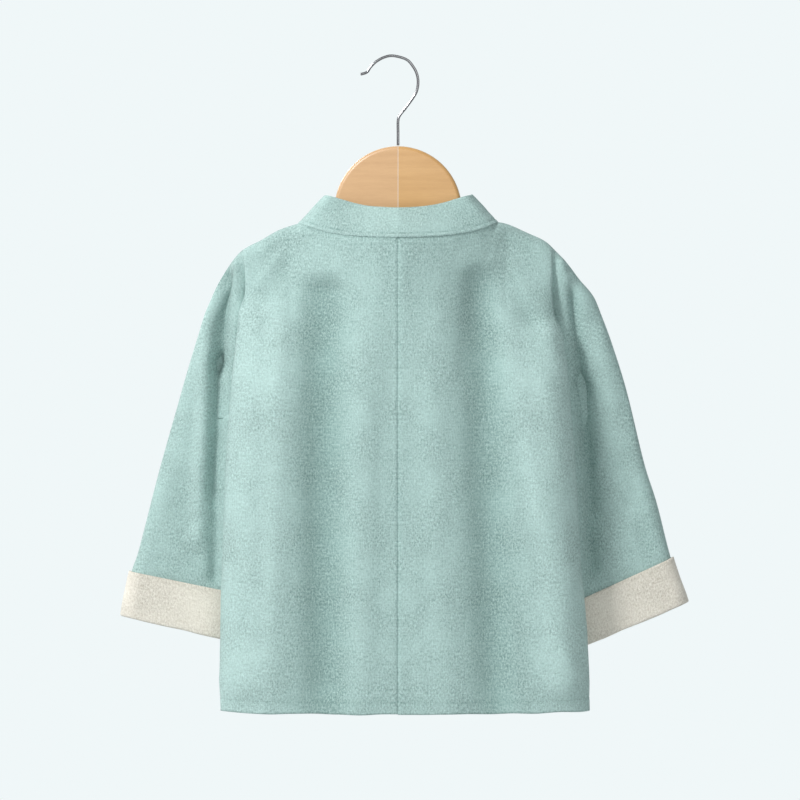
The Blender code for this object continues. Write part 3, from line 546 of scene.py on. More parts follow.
def rounded(t):
    """Rises from 0 to 1 as a quarter circle, upright at its start."""
    return np.sqrt(1.0 - (1.0 - np.clip(t, 0.0, 1.0)) ** 2)


def read(table, key, column, at):
    """The column's values between the table's rows, on a smooth curve through them."""
    rows = sorted(table, key=lambda row: getattr(row, key))
    places = np.array([getattr(row, key) for row in rows])
    values = np.array([getattr(row, column) for row in rows])
    low = np.maximum(np.arange(len(rows)) - 1, 0)
    high = np.minimum(np.arange(len(rows)) + 1, len(rows) - 1)
    slopes = (values[high] - values[low]) / (places[high] - places[low])
    at = np.clip(at, places[0], places[-1])
    i = np.clip(np.searchsorted(places, at, side="right") - 1, 0, len(rows) - 2)
    span = places[i + 1] - places[i]
    t = (at - places[i]) / span
    rise = values[i + 1] - values[i]
    start, end = slopes[i] * span, slopes[i + 1] * span
    return values[i] + t * (start + t * (3.0 * rise - 2.0 * start - end + t * (start + end - 2.0 * rise)))


def inset_line(side, steps=120):
    """The outer line moved in by the wall, as x, z pairs."""
    table = OUTER_LINE[side]
    xs = np.linspace(table[0].x, table[-1].x, steps)
    line = np.stack([xs, read(table, "x", "z", xs)], axis=1)
    along = np.gradient(line, axis=0)
    along /= np.linalg.norm(along, axis=1)[:, None]
    return line + WALL * np.stack([along[:, 1], -along[:, 0]], axis=1)


INSET = {side: inset_line(side) for side in SIDES}


def shoulder_z(side, x):
    return np.interp(x, INSET[side][:, 0], INSET[side][:, 1])


def sleeve_x(side, z):
    return np.interp(-np.asarray(z), -INSET[side][:, 1], INSET[side][:, 0])


def from_outline(side, x, z):
    """How far each place lies from the outer line."""
    line = INSET[side]
    start, step = line[:-1], np.diff(line, axis=0)
    x, z = np.broadcast_arrays(np.asarray(x, float), np.asarray(z, float))
    here = np.stack([x.ravel(), z.ravel()], axis=1)[:, None, :] - start[None]
    t = np.clip((here * step).sum(2) / (step * step).sum(1), 0.0, 1.0)
    return np.linalg.norm(here - t[:, :, None] * step, axis=2).min(1).reshape(x.shape)


def over_shoulder(side, x, z):
    """0 on the outer line, rising to 1 where the cloth has rolled over the shoulder."""
    return rounded(from_outline(side, np.abs(x), z) / SHOULDER_ROLL)


def body_edge_x(side, z):
    return read(BODY_EDGE, "z", side, z) - WALL


print("shoulder at 110 mm out:", round(float(shoulder_z("left", 0.110)) * 1000, 1), "mm")

# %% The back, the front and their seams


def fold_depth(creases, panel, x, z, fade_within):
    """The sum of the folds at each place."""
    total = np.zeros(np.broadcast(x, z).shape)
    for crease in creases:
        if crease.panel != panel:
            continue
        t = (z - crease.z_top) / (crease.z_end - crease.z_top)
        middle = between(crease.x_top, crease.x_end, np.clip(t, -0.2, 1.2))
        fade = smooth((crease.z_top - z) / fade_within) * smooth((z - crease.z_end) / fade_within)
        total = total + crease.depth * fade * np.exp(-(((x - middle) / crease.width) ** 2))
    return total


def upper_depth(panel, side, out, z):
    """How far the cloth stands off the hanger's plane near the shoulder and the neck."""
    upper = UPPER_DEPTH[panel]
    depth = upper.depth + upper.neck_depth * np.maximum(1.0 - (out / NECK_SPREAD) ** 2, 0.0)
    return depth * over_shoulder(side, out, z)


def side_seam(side, z, panel):
    """X and Y where body and sleeve part, or where the body's side is sewn."""
    x = body_edge_x(side, z) - read(SIDE_SEAM, "z", "inwards", z)
    over = over_shoulder(side, x, z)
    y = between(x * BEND, read(SIDE_SEAM, "z", "forwards", z), over)
    if panel == "back":
        return x, y
    slit = smooth((SLIT_TOP_Z - z) / SLIT_EASE)
    x = x + slit * SLIT_GAPE[side] - UNDERARM_EASE * np.exp(-(((z - UNDERARM_Z) / UNDERARM_REACH) ** 2))
    return x, y + read(SLEEVE_DEPTH, "z", "gape", z) * over + slit * SLIT_FORWARDS


def on_side(x, one, other):
    """Works out a value for each place with the side that it lies on."""
    return np.where(np.asarray(x) < 0, one, other)


def back_y(x, z):
    """The inside of the back, from its middle to the fold at its side."""
    out = np.abs(x)
    edge = on_side(x, body_edge_x("left", z), body_edge_x("right", z))
    middle, fold = read(BODY_DEPTH, "z", "back", z), read(BODY_DEPTH, "z", "edge", z)
    share = np.minimum(out / edge, 1.0)
    lower = fold + (middle - fold) * (1.0 - share**BACK_FULLNESS) ** (1.0 / BACK_FULLNESS)
    depth = on_side(x, upper_depth("back", "left", out, z), upper_depth("back", "right", out, z))
    y = between(out * BEND - depth, lower, smooth((UPPER_ENDS_Z - z) / UPPER_EASE))
    return y + fold_depth(CREASES, "back", x, z, CREASE_FADE) * (1.0 - share**CREASE_KEEP)


def front_y(x, z):
    """The inside of the front, from its middle to the seam at its side."""
    out = np.abs(x)
    left, right = side_seam("left", z, "front"), side_seam("right", z, "front")
    seam_x, seam_y = on_side(x, left[0], right[0]), on_side(x, left[1], right[1])
    share = np.minimum(out / seam_x, 1.0)
    lower = between(read(BODY_DEPTH, "z", "front", z), seam_y, share**FRONT_FULLNESS)
    depth = on_side(x, upper_depth("front", "left", out, z), upper_depth("front", "right", out, z))
    y = between(out * BEND + depth, lower, smooth((UPPER_ENDS_Z - z) / UPPER_EASE))
    return y - fold_depth(CREASES, "front", x, z, CREASE_FADE) * (1.0 - share**CREASE_KEEP)


def hem_z(x):
    return HEM_Z + HEM_LIFT_AT_SIDE * (abs(x) / SIDE_REACH) ** 4


def neck_z(x):
    return between(NECK_BACK_Z, NECK_POINT_Z, (abs(x) / NECK_POINT_X) ** BACK_FULLNESS)


print("middle of the back at the hem: y", round(float(back_y(0.001, -0.6)) * 1000, 1), "mm")

# %% [markdown]
# ## Columns of points down each panel
# A weaver would think of warp threads, and so does the mesh: each column of points follows
# the fall of the cloth, from the neck or the shoulder line to the hem or the sleeve's end.
# About 2 mm between the points is fine enough for the folds, and finer grain is left to bump.

# %% Rows and columns
ROLL_ROWS = 10
ROWS_TO_UNDERARM = 72
ROWS_TO_HEM = 135
ROW_CROWDING = 1.15
UNDERARM_ROW = ROLL_ROWS + ROWS_TO_UNDERARM
LAST_ROW = UNDERARM_ROW + ROWS_TO_HEM
LAP_CORNER_ROW = {"left": UNDERARM_ROW + ROWS_TO_HEM // 9, "right": UNDERARM_ROW}
NECK_COLUMNS = 46
SHOULDER_COLUMNS = 30
WRAP_COLUMNS = 12
FRONT_COLUMNS = 92
SLEEVE_COLUMNS = 46
NEAR_EDGE = 0.35


def crowded(count, at_start=NEAR_EDGE, at_end=NEAR_EDGE):
    """Shares from 0 to 1 that lie closer together at one or both ends."""
    t = np.linspace(0.0, 1.0, count + 1)
    bend_start, bend_end = (1.0 - at_start) * (1.0 - t), (1.0 - at_end) * t
    return t - t * (1.0 - t) * (bend_start - bend_end)


def row_heights(top, bottom):
    """Heights down one column: round the shoulder, to the underarm and to the bottom."""
    angles = np.radians(np.linspace(0.0, 90.0, ROLL_ROWS + 1))
    roll = top - SHOULDER_ROLL * (1.0 - np.cos(angles))
    upper = between(roll[-1], UNDERARM_Z, (np.arange(1, ROWS_TO_UNDERARM + 1) / ROWS_TO_UNDERARM) ** ROW_CROWDING)
    lower = between(UNDERARM_Z, bottom, np.arange(1, ROWS_TO_HEM + 1) / ROWS_TO_HEM)
    return np.concatenate([roll, upper, lower])


def column_of(x, y, z):
    return np.stack(np.broadcast_arrays(x, y, z), axis=-1).astype(float)


def on_shoulder(side, x):
    return np.array((SIDES[side] * x, x * BEND, float(shoulder_z(side, x))))


def seam_column(side, panel):
    """Places down the line where body and sleeve part, then down the body's side seam."""
    top_x = float(side_seam(side, SIDE_SEAM[0].z, panel)[0])
    z = row_heights(float(shoulder_z(side, top_x)), hem_z(SIDE_REACH))
    x, y = side_seam(side, z, panel)
    column = column_of(SIDES[side] * x, y, z)
    column[0] = on_shoulder(side, top_x)
    return column


def back_body(side):
    """The back's body as a grid of places, columns first."""
    sign = SIDES[side]
    top_edge = float(body_edge_x(side, SIDE_SEAM[0].z))
    neck_share = NECK_POINT_X / top_edge
    shares = list(neck_share * crowded(NECK_COLUMNS, 0.15, 0.6))
    shares += list(between(neck_share, 1.0, crowded(SHOULDER_COLUMNS, 0.8, 0.4)[1:]))
    columns = []
    for k, share in enumerate(shares):
        top_x = max(share * top_edge, SEAM_GAP / 2)
        top = neck_z(top_x) if k < NECK_COLUMNS else float(shoulder_z(side, top_x))
        z = row_heights(top, hem_z(share * SIDE_REACH))
        x = sign * np.maximum(share * body_edge_x(side, z), SEAM_GAP / 2)
        column = column_of(x, back_y(x, z), z)
        if k >= NECK_COLUMNS:
            column[0] = on_shoulder(side, top_x)
        columns.append(column)
    fold, seam = columns[-1], seam_column(side, "back")
    for share in np.arange(1, WRAP_COLUMNS + 1) / WRAP_COLUMNS:
        column = between(fold, seam, share**WRAP_LATE)
        column[:, 1] = between(fold[:, 1], seam[:, 1], share**WRAP_EARLY)
        columns.append(column)
    return np.array(columns)


def lap_corner_z(side):
    return between(UNDERARM_Z, HEM_Z, (LAP_CORNER_ROW[side] - UNDERARM_ROW) / ROWS_TO_HEM)


def lap_x(side, z):
    """X of the front's neck edge, then of its lap edge, down to the hem."""
    corner_x = OVER_LAP_X if side == "left" else UNDER_LAP_X
    t = (NECK_POINT_Z - z) / (NECK_POINT_Z - lap_corner_z(side))
    return between(SIDES[side] * NECK_POINT_X, corner_x, np.clip(t, 0.0, 1.0))


def lap_surface(side, x, z):
    """The inside of one front, with the over-lap lifted off the under-lap."""
    if side == "right":
        return front_y(x, z)
    lift = LAP_LIFT * smooth((x - LAP_LIFT_STARTS_X) / (LAP_LIFT_FULL_X - LAP_LIFT_STARTS_X))
    over = on_side(x, over_shoulder("left", x, z), over_shoulder("right", x, z))
    return front_y(x, z) + lift * over


def front_body(side):
    """The front's body, from its neck and lap edge to the side seam."""
    top_seam = float(side_seam(side, SIDE_SEAM[0].z, "front")[0])
    columns = []
    for share in crowded(FRONT_COLUMNS, 0.5, 0.5):
        top_x = between(NECK_POINT_X, top_seam, share)
        z = row_heights(float(shoulder_z(side, top_x)), hem_z(share * SIDE_REACH))
        x = between(lap_x(side, z), SIDES[side] * side_seam(side, z, "front")[0], share)
        column = column_of(x, lap_surface(side, x, z), z)
        column[0] = on_shoulder(side, top_x)
        columns.append(column)
    columns[-1] = seam_column(side, "front")
    return np.array(columns)


print("points down a column:", LAST_ROW + 1)

# %% The sleeves


def cuff_corners(side, share):
    """The cuff's lower and upper corners, a share of the way from its top edge to its fold."""
    places = []
    for corners in (CUFF_INNER[side], CUFF_OUTER[side]):
        x, z = between(corners[0].x, corners[1].x, share), between(corners[0].z, corners[1].z, share)
        y = float(read(SLEEVE_SEAM, "z", "forwards", z))
        if corners is CUFF_OUTER[side]:
            x = float(sleeve_x(side, z))
            y = float(read(SLEEVE_DEPTH, "z", "outer_y", z))
        places.append(np.array((SIDES[side] * x, y, z)))
    return places


def sleeve_edges(side, row, heights, panel):
    """The places of the sleeve's lower seam and upper edge on one row."""
    cuff_in, cuff_out = cuff_corners(side, CUFF_SEAM_AT)
    if row <= UNDERARM_ROW:
        z = heights[row]
        x, y = (float(value) for value in side_seam(side, z, panel))
        if row == 0:
            x = float(side_seam(side, SIDE_SEAM[0].z, panel)[0])
            y = x * BEND
    else:
        share = (row - UNDERARM_ROW) / (LAST_ROW - UNDERARM_ROW)
        z = between(UNDERARM_Z, cuff_in[2], share)
        under_body = float(body_edge_x(side, z) - read(SLEEVE_SEAM, "z", "inwards", z))
        x = between(under_body, abs(cuff_in[0]), share**SLEEVE_SEAM_TURNS_LATE)
        y = float(read(SLEEVE_SEAM, "z", "forwards", z))
    inner = np.array((SIDES[side] * x, y, z))
    top_z = float(shoulder_z(side, float(body_edge_x(side, SIDE_SEAM[0].z)) + SLEEVE_TOP_OUT))
    outer_z = between(top_z, cuff_out[2], (heights[0] - z) / (heights[0] - cuff_in[2]))
    outer_y = float(read(SLEEVE_DEPTH, "z", "outer_y", outer_z))
    outer = np.array((SIDES[side] * float(sleeve_x(side, outer_z)), outer_y, outer_z))
    return inner, outer


def tube_places(inner, outer, depth, shares, face, lay=0.0):
    """Places on one face of a closed sleeve, between its lower seam and its upper edge."""
    across = outer - inner
    width = np.linalg.norm(across)
    across = across / width
    start, end = inner - across * lay, outer + across * lay
    wide, roll = width + 2.0 * lay, SLEEVE_ROLL + lay
    places = between(start, end, shares[:, None])
    bulge = rounded(shares * wide / roll) * rounded((1.0 - shares) * wide / roll)
    places[:, 1] += face * (depth + lay) * bulge
    return places


def open_places(side, inner, outer, rise, depth, shares, face):
    """Places on one face of the sleeve above the underarm, where it runs on from the body."""
    places = between(inner, outer, shares[:, None])
    places[:, 2] += rise
    far = rounded(from_outline(side, np.abs(places[:, 0]), places[:, 2]) / SLEEVE_ROLL)
    places[:, 1] += face * depth * smooth(shares / SLEEVE_FULL_BY) * far
    return places


def sleeve(side, panel):
    """Half of a sleeve as a grid of places, from its lower seam to its upper edge."""
    face = -1.0 if panel == "back" else 1.0
    shares = crowded(SLEEVE_COLUMNS, 0.25, 0.25)
    heights = row_heights(float(shoulder_z(side, float(side_seam(side, SIDE_SEAM[0].z, panel)[0]))), HEM_Z)
    top_inner, top_outer = sleeve_edges(side, 0, heights, panel)
    on_top = between(top_inner, top_outer, shares[:, None])
    top_rise = shoulder_z(side, np.abs(on_top[:, 0])) - on_top[:, 2]
    rows = []
    for row in range(LAST_ROW + 1):
        inner, outer = sleeve_edges(side, row, heights, panel)
        depth = float(read(SLEEVE_DEPTH, "z", "depth", inner[2]))
        if row > UNDERARM_ROW:
            places = tube_places(inner, outer, depth, shares, face)
            places[0, 1] += face * SEAM_GAP / 2
        else:
            rise = top_rise * (1.0 - row / UNDERARM_ROW)
            places = open_places(side, inner, outer, rise, depth, shares, face)
        for wave in SLEEVE_WAVES:
            at = between(wave.start, wave.end, shares)
            swell = np.exp(-(((row / LAST_ROW - at) / wave.width) ** 2)) * np.sin(math.pi * shares) ** 2
            places[:, 1] -= face * wave.depth * swell * (1.0 - wave.along * shares)
        places[-1, 1] += face * SEAM_GAP / 2
        rows.append(places)
    return np.array(rows).transpose(1, 0, 2)


print("sleeve's edge to edge at the cuff:",
      round(float(np.linalg.norm(np.subtract(*cuff_corners("left", CUFF_SEAM_AT)))) * 1000), "mm")

# %% [markdown]
# ## Laying creases on the cloth
# The tables above give the calm shape. Real cloth also keeps small creases and uneven
# ripples, which it got in the wash and from being folded. They are added along the
# cloth's own outward direction and fade out towards every seam, because a seam holds it
# still. The ripples come from a lattice of random heights with a fixed seed.

# %% Outward directions, lengths along the cloth and ripples
SMALL_FADE = 0.022
SEAM_CALM = 0.007
Ripple = namedtuple("Ripple", "wide tall height")
RIPPLES = [Ripple(0.028, 0.240, 0.0008), Ripple(0.012, 0.040, 0.0004), Ripple(0.0055, 0.008, 0.00016)]


def outward(grid, sign):
    across, down = np.gradient(grid, axis=0), np.gradient(grid, axis=1)
    normal = sign * np.cross(across, down)
    return normal / np.maximum(np.linalg.norm(normal, axis=2, keepdims=True), 1e-12)


def lengths(grid, axis):
    """The length along the cloth from its first column or row to each place."""
    steps = np.linalg.norm(np.diff(grid, axis=axis), axis=2)
    return np.concatenate([np.zeros_like(np.take(steps, [0], axis)), np.cumsum(steps, axis)], axis)


def ripple(u, v, wide, tall, seed):
    """Smooth random waves between -1 and 1, in cells of the given size."""
    a, b = u / wide, v / tall
    a, b = a - a.min(), b - b.min()
    i, j = a.astype(int), b.astype(int)
    lattice = np.random.default_rng(seed).uniform(-1.0, 1.0, (i.max() + 2, j.max() + 2))
    s, t = smooth(a - i), smooth(b - j)
    upper = between(lattice[i, j], lattice[i + 1, j], s)
    lower = between(lattice[i, j + 1], lattice[i + 1, j + 1], s)
    return between(upper, lower, t)


def rippled(u, v, seed, share=1.0):
    waves = [size.height * ripple(u, v, size.wide, size.tall, seed + k) for k, size in enumerate(RIPPLES)]
    return share * sum(waves)


def away_from(distance, reach=SEAM_CALM):
    return smooth(distance / reach)


print("ripples up to", round(1000 * sum(size.height for size in RIPPLES), 2), "mm high")

# %% [markdown]
# ## From a grid to a thin shell
# A grid of places becomes one sheet of four-sided faces. Its UV map is measured along the
# cloth in metres, so that the weave keeps its scale round every fold. The sheet lies just
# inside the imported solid's wall, and Solidify gives it the real thickness of the cloth.

# %% A cloth piece
CLOTH_INSET = 0.0003


def sheet_object(name, grids, material, flip, wall=CLOTH_THICK):
    """One piece from grids, each a tuple of places, UVs in metres and painted shade: nearness to a seam or stitches
    and depth in the folds.
    """
    points, faces, uvs, near = [], [], [], []
    start = 0
    for places, uv, seam in grids:
        wide, tall = places.shape[:2]
        index = start + np.arange(wide * tall).reshape(wide, tall)
        corners = [index[:-1, :-1], index[1:, :-1], index[1:, 1:], index[:-1, 1:]]
        if flip:
            corners = corners[::-1]
        faces.append(np.stack([corner.ravel() for corner in corners], axis=1))
        points.append(places.reshape(-1, 3))
        uvs.append(uv.reshape(-1, 2))
        near.append(seam.ravel())
        start += wide * tall
    mesh = bpy.data.meshes.new(name)
    mesh.from_pydata(np.concatenate(points), [], np.concatenate(faces).tolist())
    layer = mesh.uv_layers.new(name="cloth")
    corner_points = np.zeros(len(mesh.loops), np.int32)
    mesh.loops.foreach_get("vertex_index", corner_points)
    layer.data.foreach_set("uv", np.concatenate(uvs)[corner_points].astype(np.float32).ravel())
    # The painted shade goes into the 'seam' attribute, which darkens the cloth's colour
    attribute = mesh.attributes.new("seam", "FLOAT", "POINT")
    attribute.data.foreach_set("value", np.concatenate(near).astype(np.float32))
    bm = bmesh.new()
    bm.from_mesh(mesh)
    bmesh.ops.remove_doubles(bm, verts=bm.verts, dist=1e-6)
    bm.to_mesh(mesh)
    bm.free()
    mesh.materials.append(material)
    mesh.shade_smooth()
    made = bpy.data.objects.new(name, mesh)
    bpy.context.scene.collection.objects.link(made)
    if wall:
        shell = made.modifiers.new("cloth_thickness", "SOLIDIFY")
        shell.thickness = wall
        shell.offset = 1.0
    return made


def declare(piece, slot, *nodes):
    """Says what the piece rides on and what it stands for; its slot, for the finish, is not used."""
    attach(piece, "root")
    if nodes:
        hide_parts(*nodes)
    print(piece.name, "has", len(piece.data.polygons), "faces")
    return piece


# %% [markdown]
# ## The four panels
# A panel is cut in one with its sleeve, so its two grids share the column where the body
# ends and the sleeve begins, and are merged there. The centre-back edge dips inwards to
# make the seam's groove. The hem is a turned-up double layer, so the cloth stands a little
# prouder below its row of stitches.

# %% Building the panels
GROOVE_DEPTH = 0.0011
GROOVE_WIDTH = 0.0011
HEM_TURN = 0.0110
HEM_STEP = 0.00035
HEM_STITCH_DIP = 0.00040
HEM_STITCH_WIDTH = 0.0010
LAP_HEM = 0.0090
CUFF_CALM = 0.016
# The fold depth at which a trough's painted shade is full
PAINTED_SHADE_FOLD_DEPTH = 0.0060


def dip_at(distance, line, width=HEM_STITCH_WIDTH):
    return np.exp(-(((distance - line) / width) ** 2))


def hem_lift(distance, turn):
    """A doubled edge stands proud below its stitches, and the stitches pull it in."""
    return HEM_STEP * (1.0 - smooth((distance - turn + 0.001) / 0.002)) - HEM_STITCH_DIP * dip_at(distance, turn)


def painted_fold_shade(panel, grid):
    """How deep a place lies in the folds, as painted shade: above 0 in a trough, painted darker, below 0 on a ridge,
    painted paler.
    """
    x, z = grid[..., 0], grid[..., 2]
    depth = fold_depth(CREASES, panel, x, z, CREASE_FADE) + fold_depth(SMALL_CREASES, panel, x, z, SMALL_FADE)
    return np.clip(depth / PAINTED_SHADE_FOLD_DEPTH, -1.0, 2.2)


def panel_grids(side, panel):
    """The calm grids of a panel's body and sleeve, set 0.3 mm from the other panel's."""
    body = back_body(side) if panel == "back" else front_body(side)
    arm = sleeve(side, panel)
    arm[0, : UNDERARM_ROW + 1] = body[-1, : UNDERARM_ROW + 1]
    shift = SEAM_GAP / 2 if panel == "front" else -SEAM_GAP / 2
    body[-1, UNDERARM_ROW + 1 :, 1] += shift
    for grid in (body, arm):
        grid[:, 0, 1] += shift * (np.abs(grid[:, 0, 0]) > NECK_POINT_X - 0.001)
    return body, arm


def dress_panel(side, panel, seed):
    """Lays the creases, seams and hems on a panel's grids and gives their UVs."""
    body, arm = panel_grids(side, panel)
    sign = 1.0 if (side == "left") == (panel == "back") else -1.0
    u, down = lengths(body, 0), lengths(body, 1)
    from_hem = down[:, -1:] - down
    small = -fold_depth(SMALL_CREASES, panel, body[..., 0], body[..., 2], SMALL_FADE)
    lift = (small + rippled(body[..., 0], body[..., 2], seed)) * away_from(down) * away_from(u)
    lift = lift * between(0.35, 1.0, away_from(from_hem, 0.030)) + hem_lift(from_hem, HEM_TURN)
    # Painted shade: darker just below the top seam and along the hem's row of stitches. The folds then add painted
    # shade in troughs and painted highlight on ridges.
    near = np.exp(-down / 0.004) + 0.7 * dip_at(from_hem, HEM_TURN, 0.0014)
    near = near + painted_fold_shade(panel, body)
    if panel == "back":
        lift = lift - GROOVE_DEPTH * np.exp(-((u / GROOVE_WIDTH) ** 2))
        # Painted shade in the centre-back seam's groove
        near = near + np.exp(-u / 0.0016)
    else:
        below = smooth((lap_corner_z(side) - body[..., 2]) / 0.010)
        lift = lift + below * hem_lift(u, LAP_HEM)
        # Painted shade beside the front's neck and lap edge
        near = near + np.exp(-u / 0.004)
    normal = outward(body, sign)
    dressed = body + normal * (lift + CLOTH_INSET)[..., None]
    dressed[..., 2] += 0.0007 * ripple(body[..., 0], body[..., 2] * 0.0, 0.021, 1.0, seed + 9) * (
        1.0 - smooth(from_hem / 0.012)
    )
    arm_u, arm_down = lengths(arm, 0), lengths(arm, 1)
    small = -fold_depth(SMALL_CREASES, panel, arm[..., 0], arm[..., 2], SMALL_FADE)
    arm_lift = small + rippled(arm[..., 0], arm[..., 2], seed, 1.15)
    arm_lift = arm_lift * away_from(arm_down) * away_from(arm_u[-1:] - arm_u)
    arm_lift = arm_lift * away_from(arm_down[:, -1:] - arm_down, CUFF_CALM)
    arm_lift[:, UNDERARM_ROW + 1 :] *= away_from(arm_u)[:, UNDERARM_ROW + 1 :]
    dressed_arm = arm + outward(arm, sign) * (arm_lift + CLOTH_INSET)[..., None]
    dressed_arm[0, : UNDERARM_ROW + 1] = dressed[-1, : UNDERARM_ROW + 1]
    uv = np.stack([u, -from_hem], axis=-1)
    arm_uv = np.stack([arm_u + u[-1], arm_down - from_hem[-1, 0]], axis=-1)
    # The sleeve's painted shade: darker below its top, along its upper edge and in fold troughs, and paler on fold
    # ridges
    arm_painted_shade = np.exp(-arm_down / 0.004) + np.exp(-(arm_u[-1:] - arm_u) / 0.003) + painted_fold_shade(panel, arm)
    return {
        "calm": body, "body": dressed, "normal": normal, "from_hem": from_hem, "u": u,
        "grids": [(dressed, uv, near), (dressed_arm, arm_uv, arm_painted_shade)], "flip": sign < 0,
    }


PANELS = {}
for side in SIDES:
    for number, panel in enumerate(("back", "front")):
        made = dress_panel(side, panel, seed=40 + 10 * number + (5 if side == "left" else 0))
        name = f"cloth_{panel}_{side}"
        made["object"] = sheet_object(name, made["grids"], SAGE, made["flip"])
        declare(made["object"], "linen_cotton", f"{panel}_{side}")
        PANELS[side, panel] = made

# %% [markdown]
# ## The collar band
# The band is one folded strip, sewn round the neck and down both laps. It is swept along the
# panels' own neck edges. At the middle of the back it leans inwards, at the neck points it
# leans over the shoulder, and down the laps it lies flat on the fronts. Its section is a
# flat loop with a soft fold on top, and its lower edge is pulled in by a row of stitches.

# %% The collar
COLLAR_FACE_STEPS = 30
COLLAR_ROUND_STEPS = 7
COLLAR_STITCH_AT = 0.0026
COLLAR_STITCH_DIP = 0.00045
COLLAR_CLEAR = 0.0001
COLLAR_TUCK = 0.0018


def unit(vectors):
    return vectors / np.linalg.norm(vectors, axis=-1, keepdims=True)


def collar_lean(x):
    """Which way the band stands along the back of the neck."""
    share = min(abs(x) / NECK_POINT_X, 1.0) ** 2
    point = COLLAR_LEAN_POINT * (math.copysign(1.0, x), 1.0, 1.0)
    return unit(between(COLLAR_LEAN_MIDDLE, point, share))


def collar_front(side):
    """The seam down one front, with the band's rise at each place."""
    sign = SIDES[side]
    corner_z = lap_corner_z(side)
    slant = unit(np.array((float(lap_x(side, corner_z)) - sign * NECK_POINT_X, 0.0, corner_z - NECK_POINT_Z)))
    away = np.array((-sign * abs(slant[2]), 0.0, abs(slant[0])))
    stretch = []
    for place in PANELS[side, "front"]["calm"][0, 1 : LAP_CORNER_ROW[side] + 1]:
        settled = float(smooth((NECK_POINT_Z - place[2]) / COLLAR_SETTLES_IN))
        lean = collar_lean(place[0] if settled < 1.0 else sign)
        rise = between(lean, away, settled) * COLLAR_WIDTH
        free = place + rise
        flat = lap_surface(side, free[0], free[2]) - lap_surface(side, place[0], place[2])
        rise[1] = float(flat) * settled
        stretch.append((place, rise))
    return stretch


def collar_back(side):
    neck = PANELS[side, "back"]["calm"][: NECK_COLUMNS + 1, 0]
    return [(place, collar_lean(place[0]) * COLLAR_WIDTH) for place in neck]


def collar_path():
    """Places and rises from the over-lap's corner round the neck to the under-lap's."""
    path = collar_front("left")[::-1] + collar_back("left")[::-1]
    path += collar_back("right")[1:] + collar_front("right")
    seam, rise = (np.array(part) for part in zip(*path))
    off_point = np.hypot(np.abs(seam[:, 0]) - NECK_POINT_X, seam[:, 2] - NECK_POINT_Z)
    gap = SEAM_GAP + COLLAR_EASE * np.exp(-((off_point / COLLAR_EASE_REACH) ** 2))
    return seam + unit(rise) * gap[:, None], rise


def collar_section():
    """The band's section as heights and thicknesses: up the outside and down the inside."""
    radius = COLLAR_WALL / 2 - COLLAR_CLEAR
    foot = radius - COLLAR_TUCK
    faces = between(foot, COLLAR_WIDTH - radius, crowded(COLLAR_FACE_STEPS, 0.3, 0.8))
    turns = np.radians(np.linspace(0.0, 180.0, COLLAR_ROUND_STEPS + 1))[1:-1]
    top = COLLAR_WIDTH - radius + radius * np.sin(turns)
    heights = np.concatenate([faces, top, faces[::-1], foot - radius * np.sin(turns)])
    outside, inside = np.full(len(faces), radius), np.full(len(faces), -radius)
    depths = np.concatenate([outside, radius * np.cos(turns), inside, -radius * np.cos(turns)])
    stitched = np.zeros(len(heights))
    stitched[: len(faces)] = np.exp(-(((faces - COLLAR_STITCH_AT) / 0.0009) ** 2))
    return heights, depths + COLLAR_WALL / 2, stitched


def make_collar():
    seam, rise = collar_path()
    along = unit(np.gradient(seam, axis=0))
    out = unit(np.cross(along, rise))
    heights, depths, stitched = collar_section()
    u = lengths(seam[:, None], 0)[:, 0]
    v = np.concatenate([[0.0], np.cumsum(np.hypot(np.diff(heights), np.diff(depths)))])
    uu, vv = np.meshgrid(u, v, indexing="ij")
    lift = 0.00030 * ripple(uu, heights[None] + 0.0 * uu, 0.017, 0.012, 71)
    lift = (lift + 0.00012 * ripple(uu, vv, 0.006, 0.006, 72)) * away_from(heights[None], 0.006)
    depth = depths[None] + lift * np.sign(depths - COLLAR_WALL / 2)[None] - COLLAR_STITCH_DIP * stitched[None]
    places = seam[:, None] + rise[:, None] * (heights[None, :, None] / COLLAR_WIDTH) + out[:, None] * depth[..., None]
    closed = np.concatenate([places, places[:, :1]], axis=1)
    uv = np.stack([uu, vv], axis=-1)
    uv = np.concatenate([uv, uv[:, -1:] + (0.0, 0.002)], axis=1)
    # Painted shade along the collar's row of stitches, in the dip where they pull the band in
    near = np.concatenate([np.broadcast_to(stitched, uu.shape), np.zeros((len(u), 1))], axis=1)
    band = sheet_object("cloth_collar", [(closed, uv, near)], SAGE, flip=False, wall=None)
    bm = bmesh.new()
    bm.from_mesh(band.data)
    rims = [edge for edge in bm.edges if edge.is_boundary]
    bmesh.ops.holes_fill(bm, edges=rims, sides=0)
    bmesh.ops.recalc_face_normals(bm, faces=bm.faces)
    bm.to_mesh(band.data)
    bm.free()
    outside = COLLAR_WALL - COLLAR_CLEAR - COLLAR_STITCH_DIP
    stitch_line = seam + rise * (COLLAR_STITCH_AT / COLLAR_WIDTH) + out * outside
    return band, stitch_line


COLLAR, COLLAR_STITCHES = make_collar()
declare(COLLAR, "linen_cotton", "collar")

# %% [markdown]
# ## The turned-back cuffs
# A cuff is one undyed facing that runs up inside the sleeve's end, turns over at a soft fold
# and comes back outside. Its section has an inner leg, half a circle and an outer leg, which
# stands a little off the sleeve and throws the thin shadow above the cuff.

# %% The cuffs
CUFF_LEG_STEPS = 20
CUFF_FOLD_STEPS = 10
CUFF_THICK = 0.0012


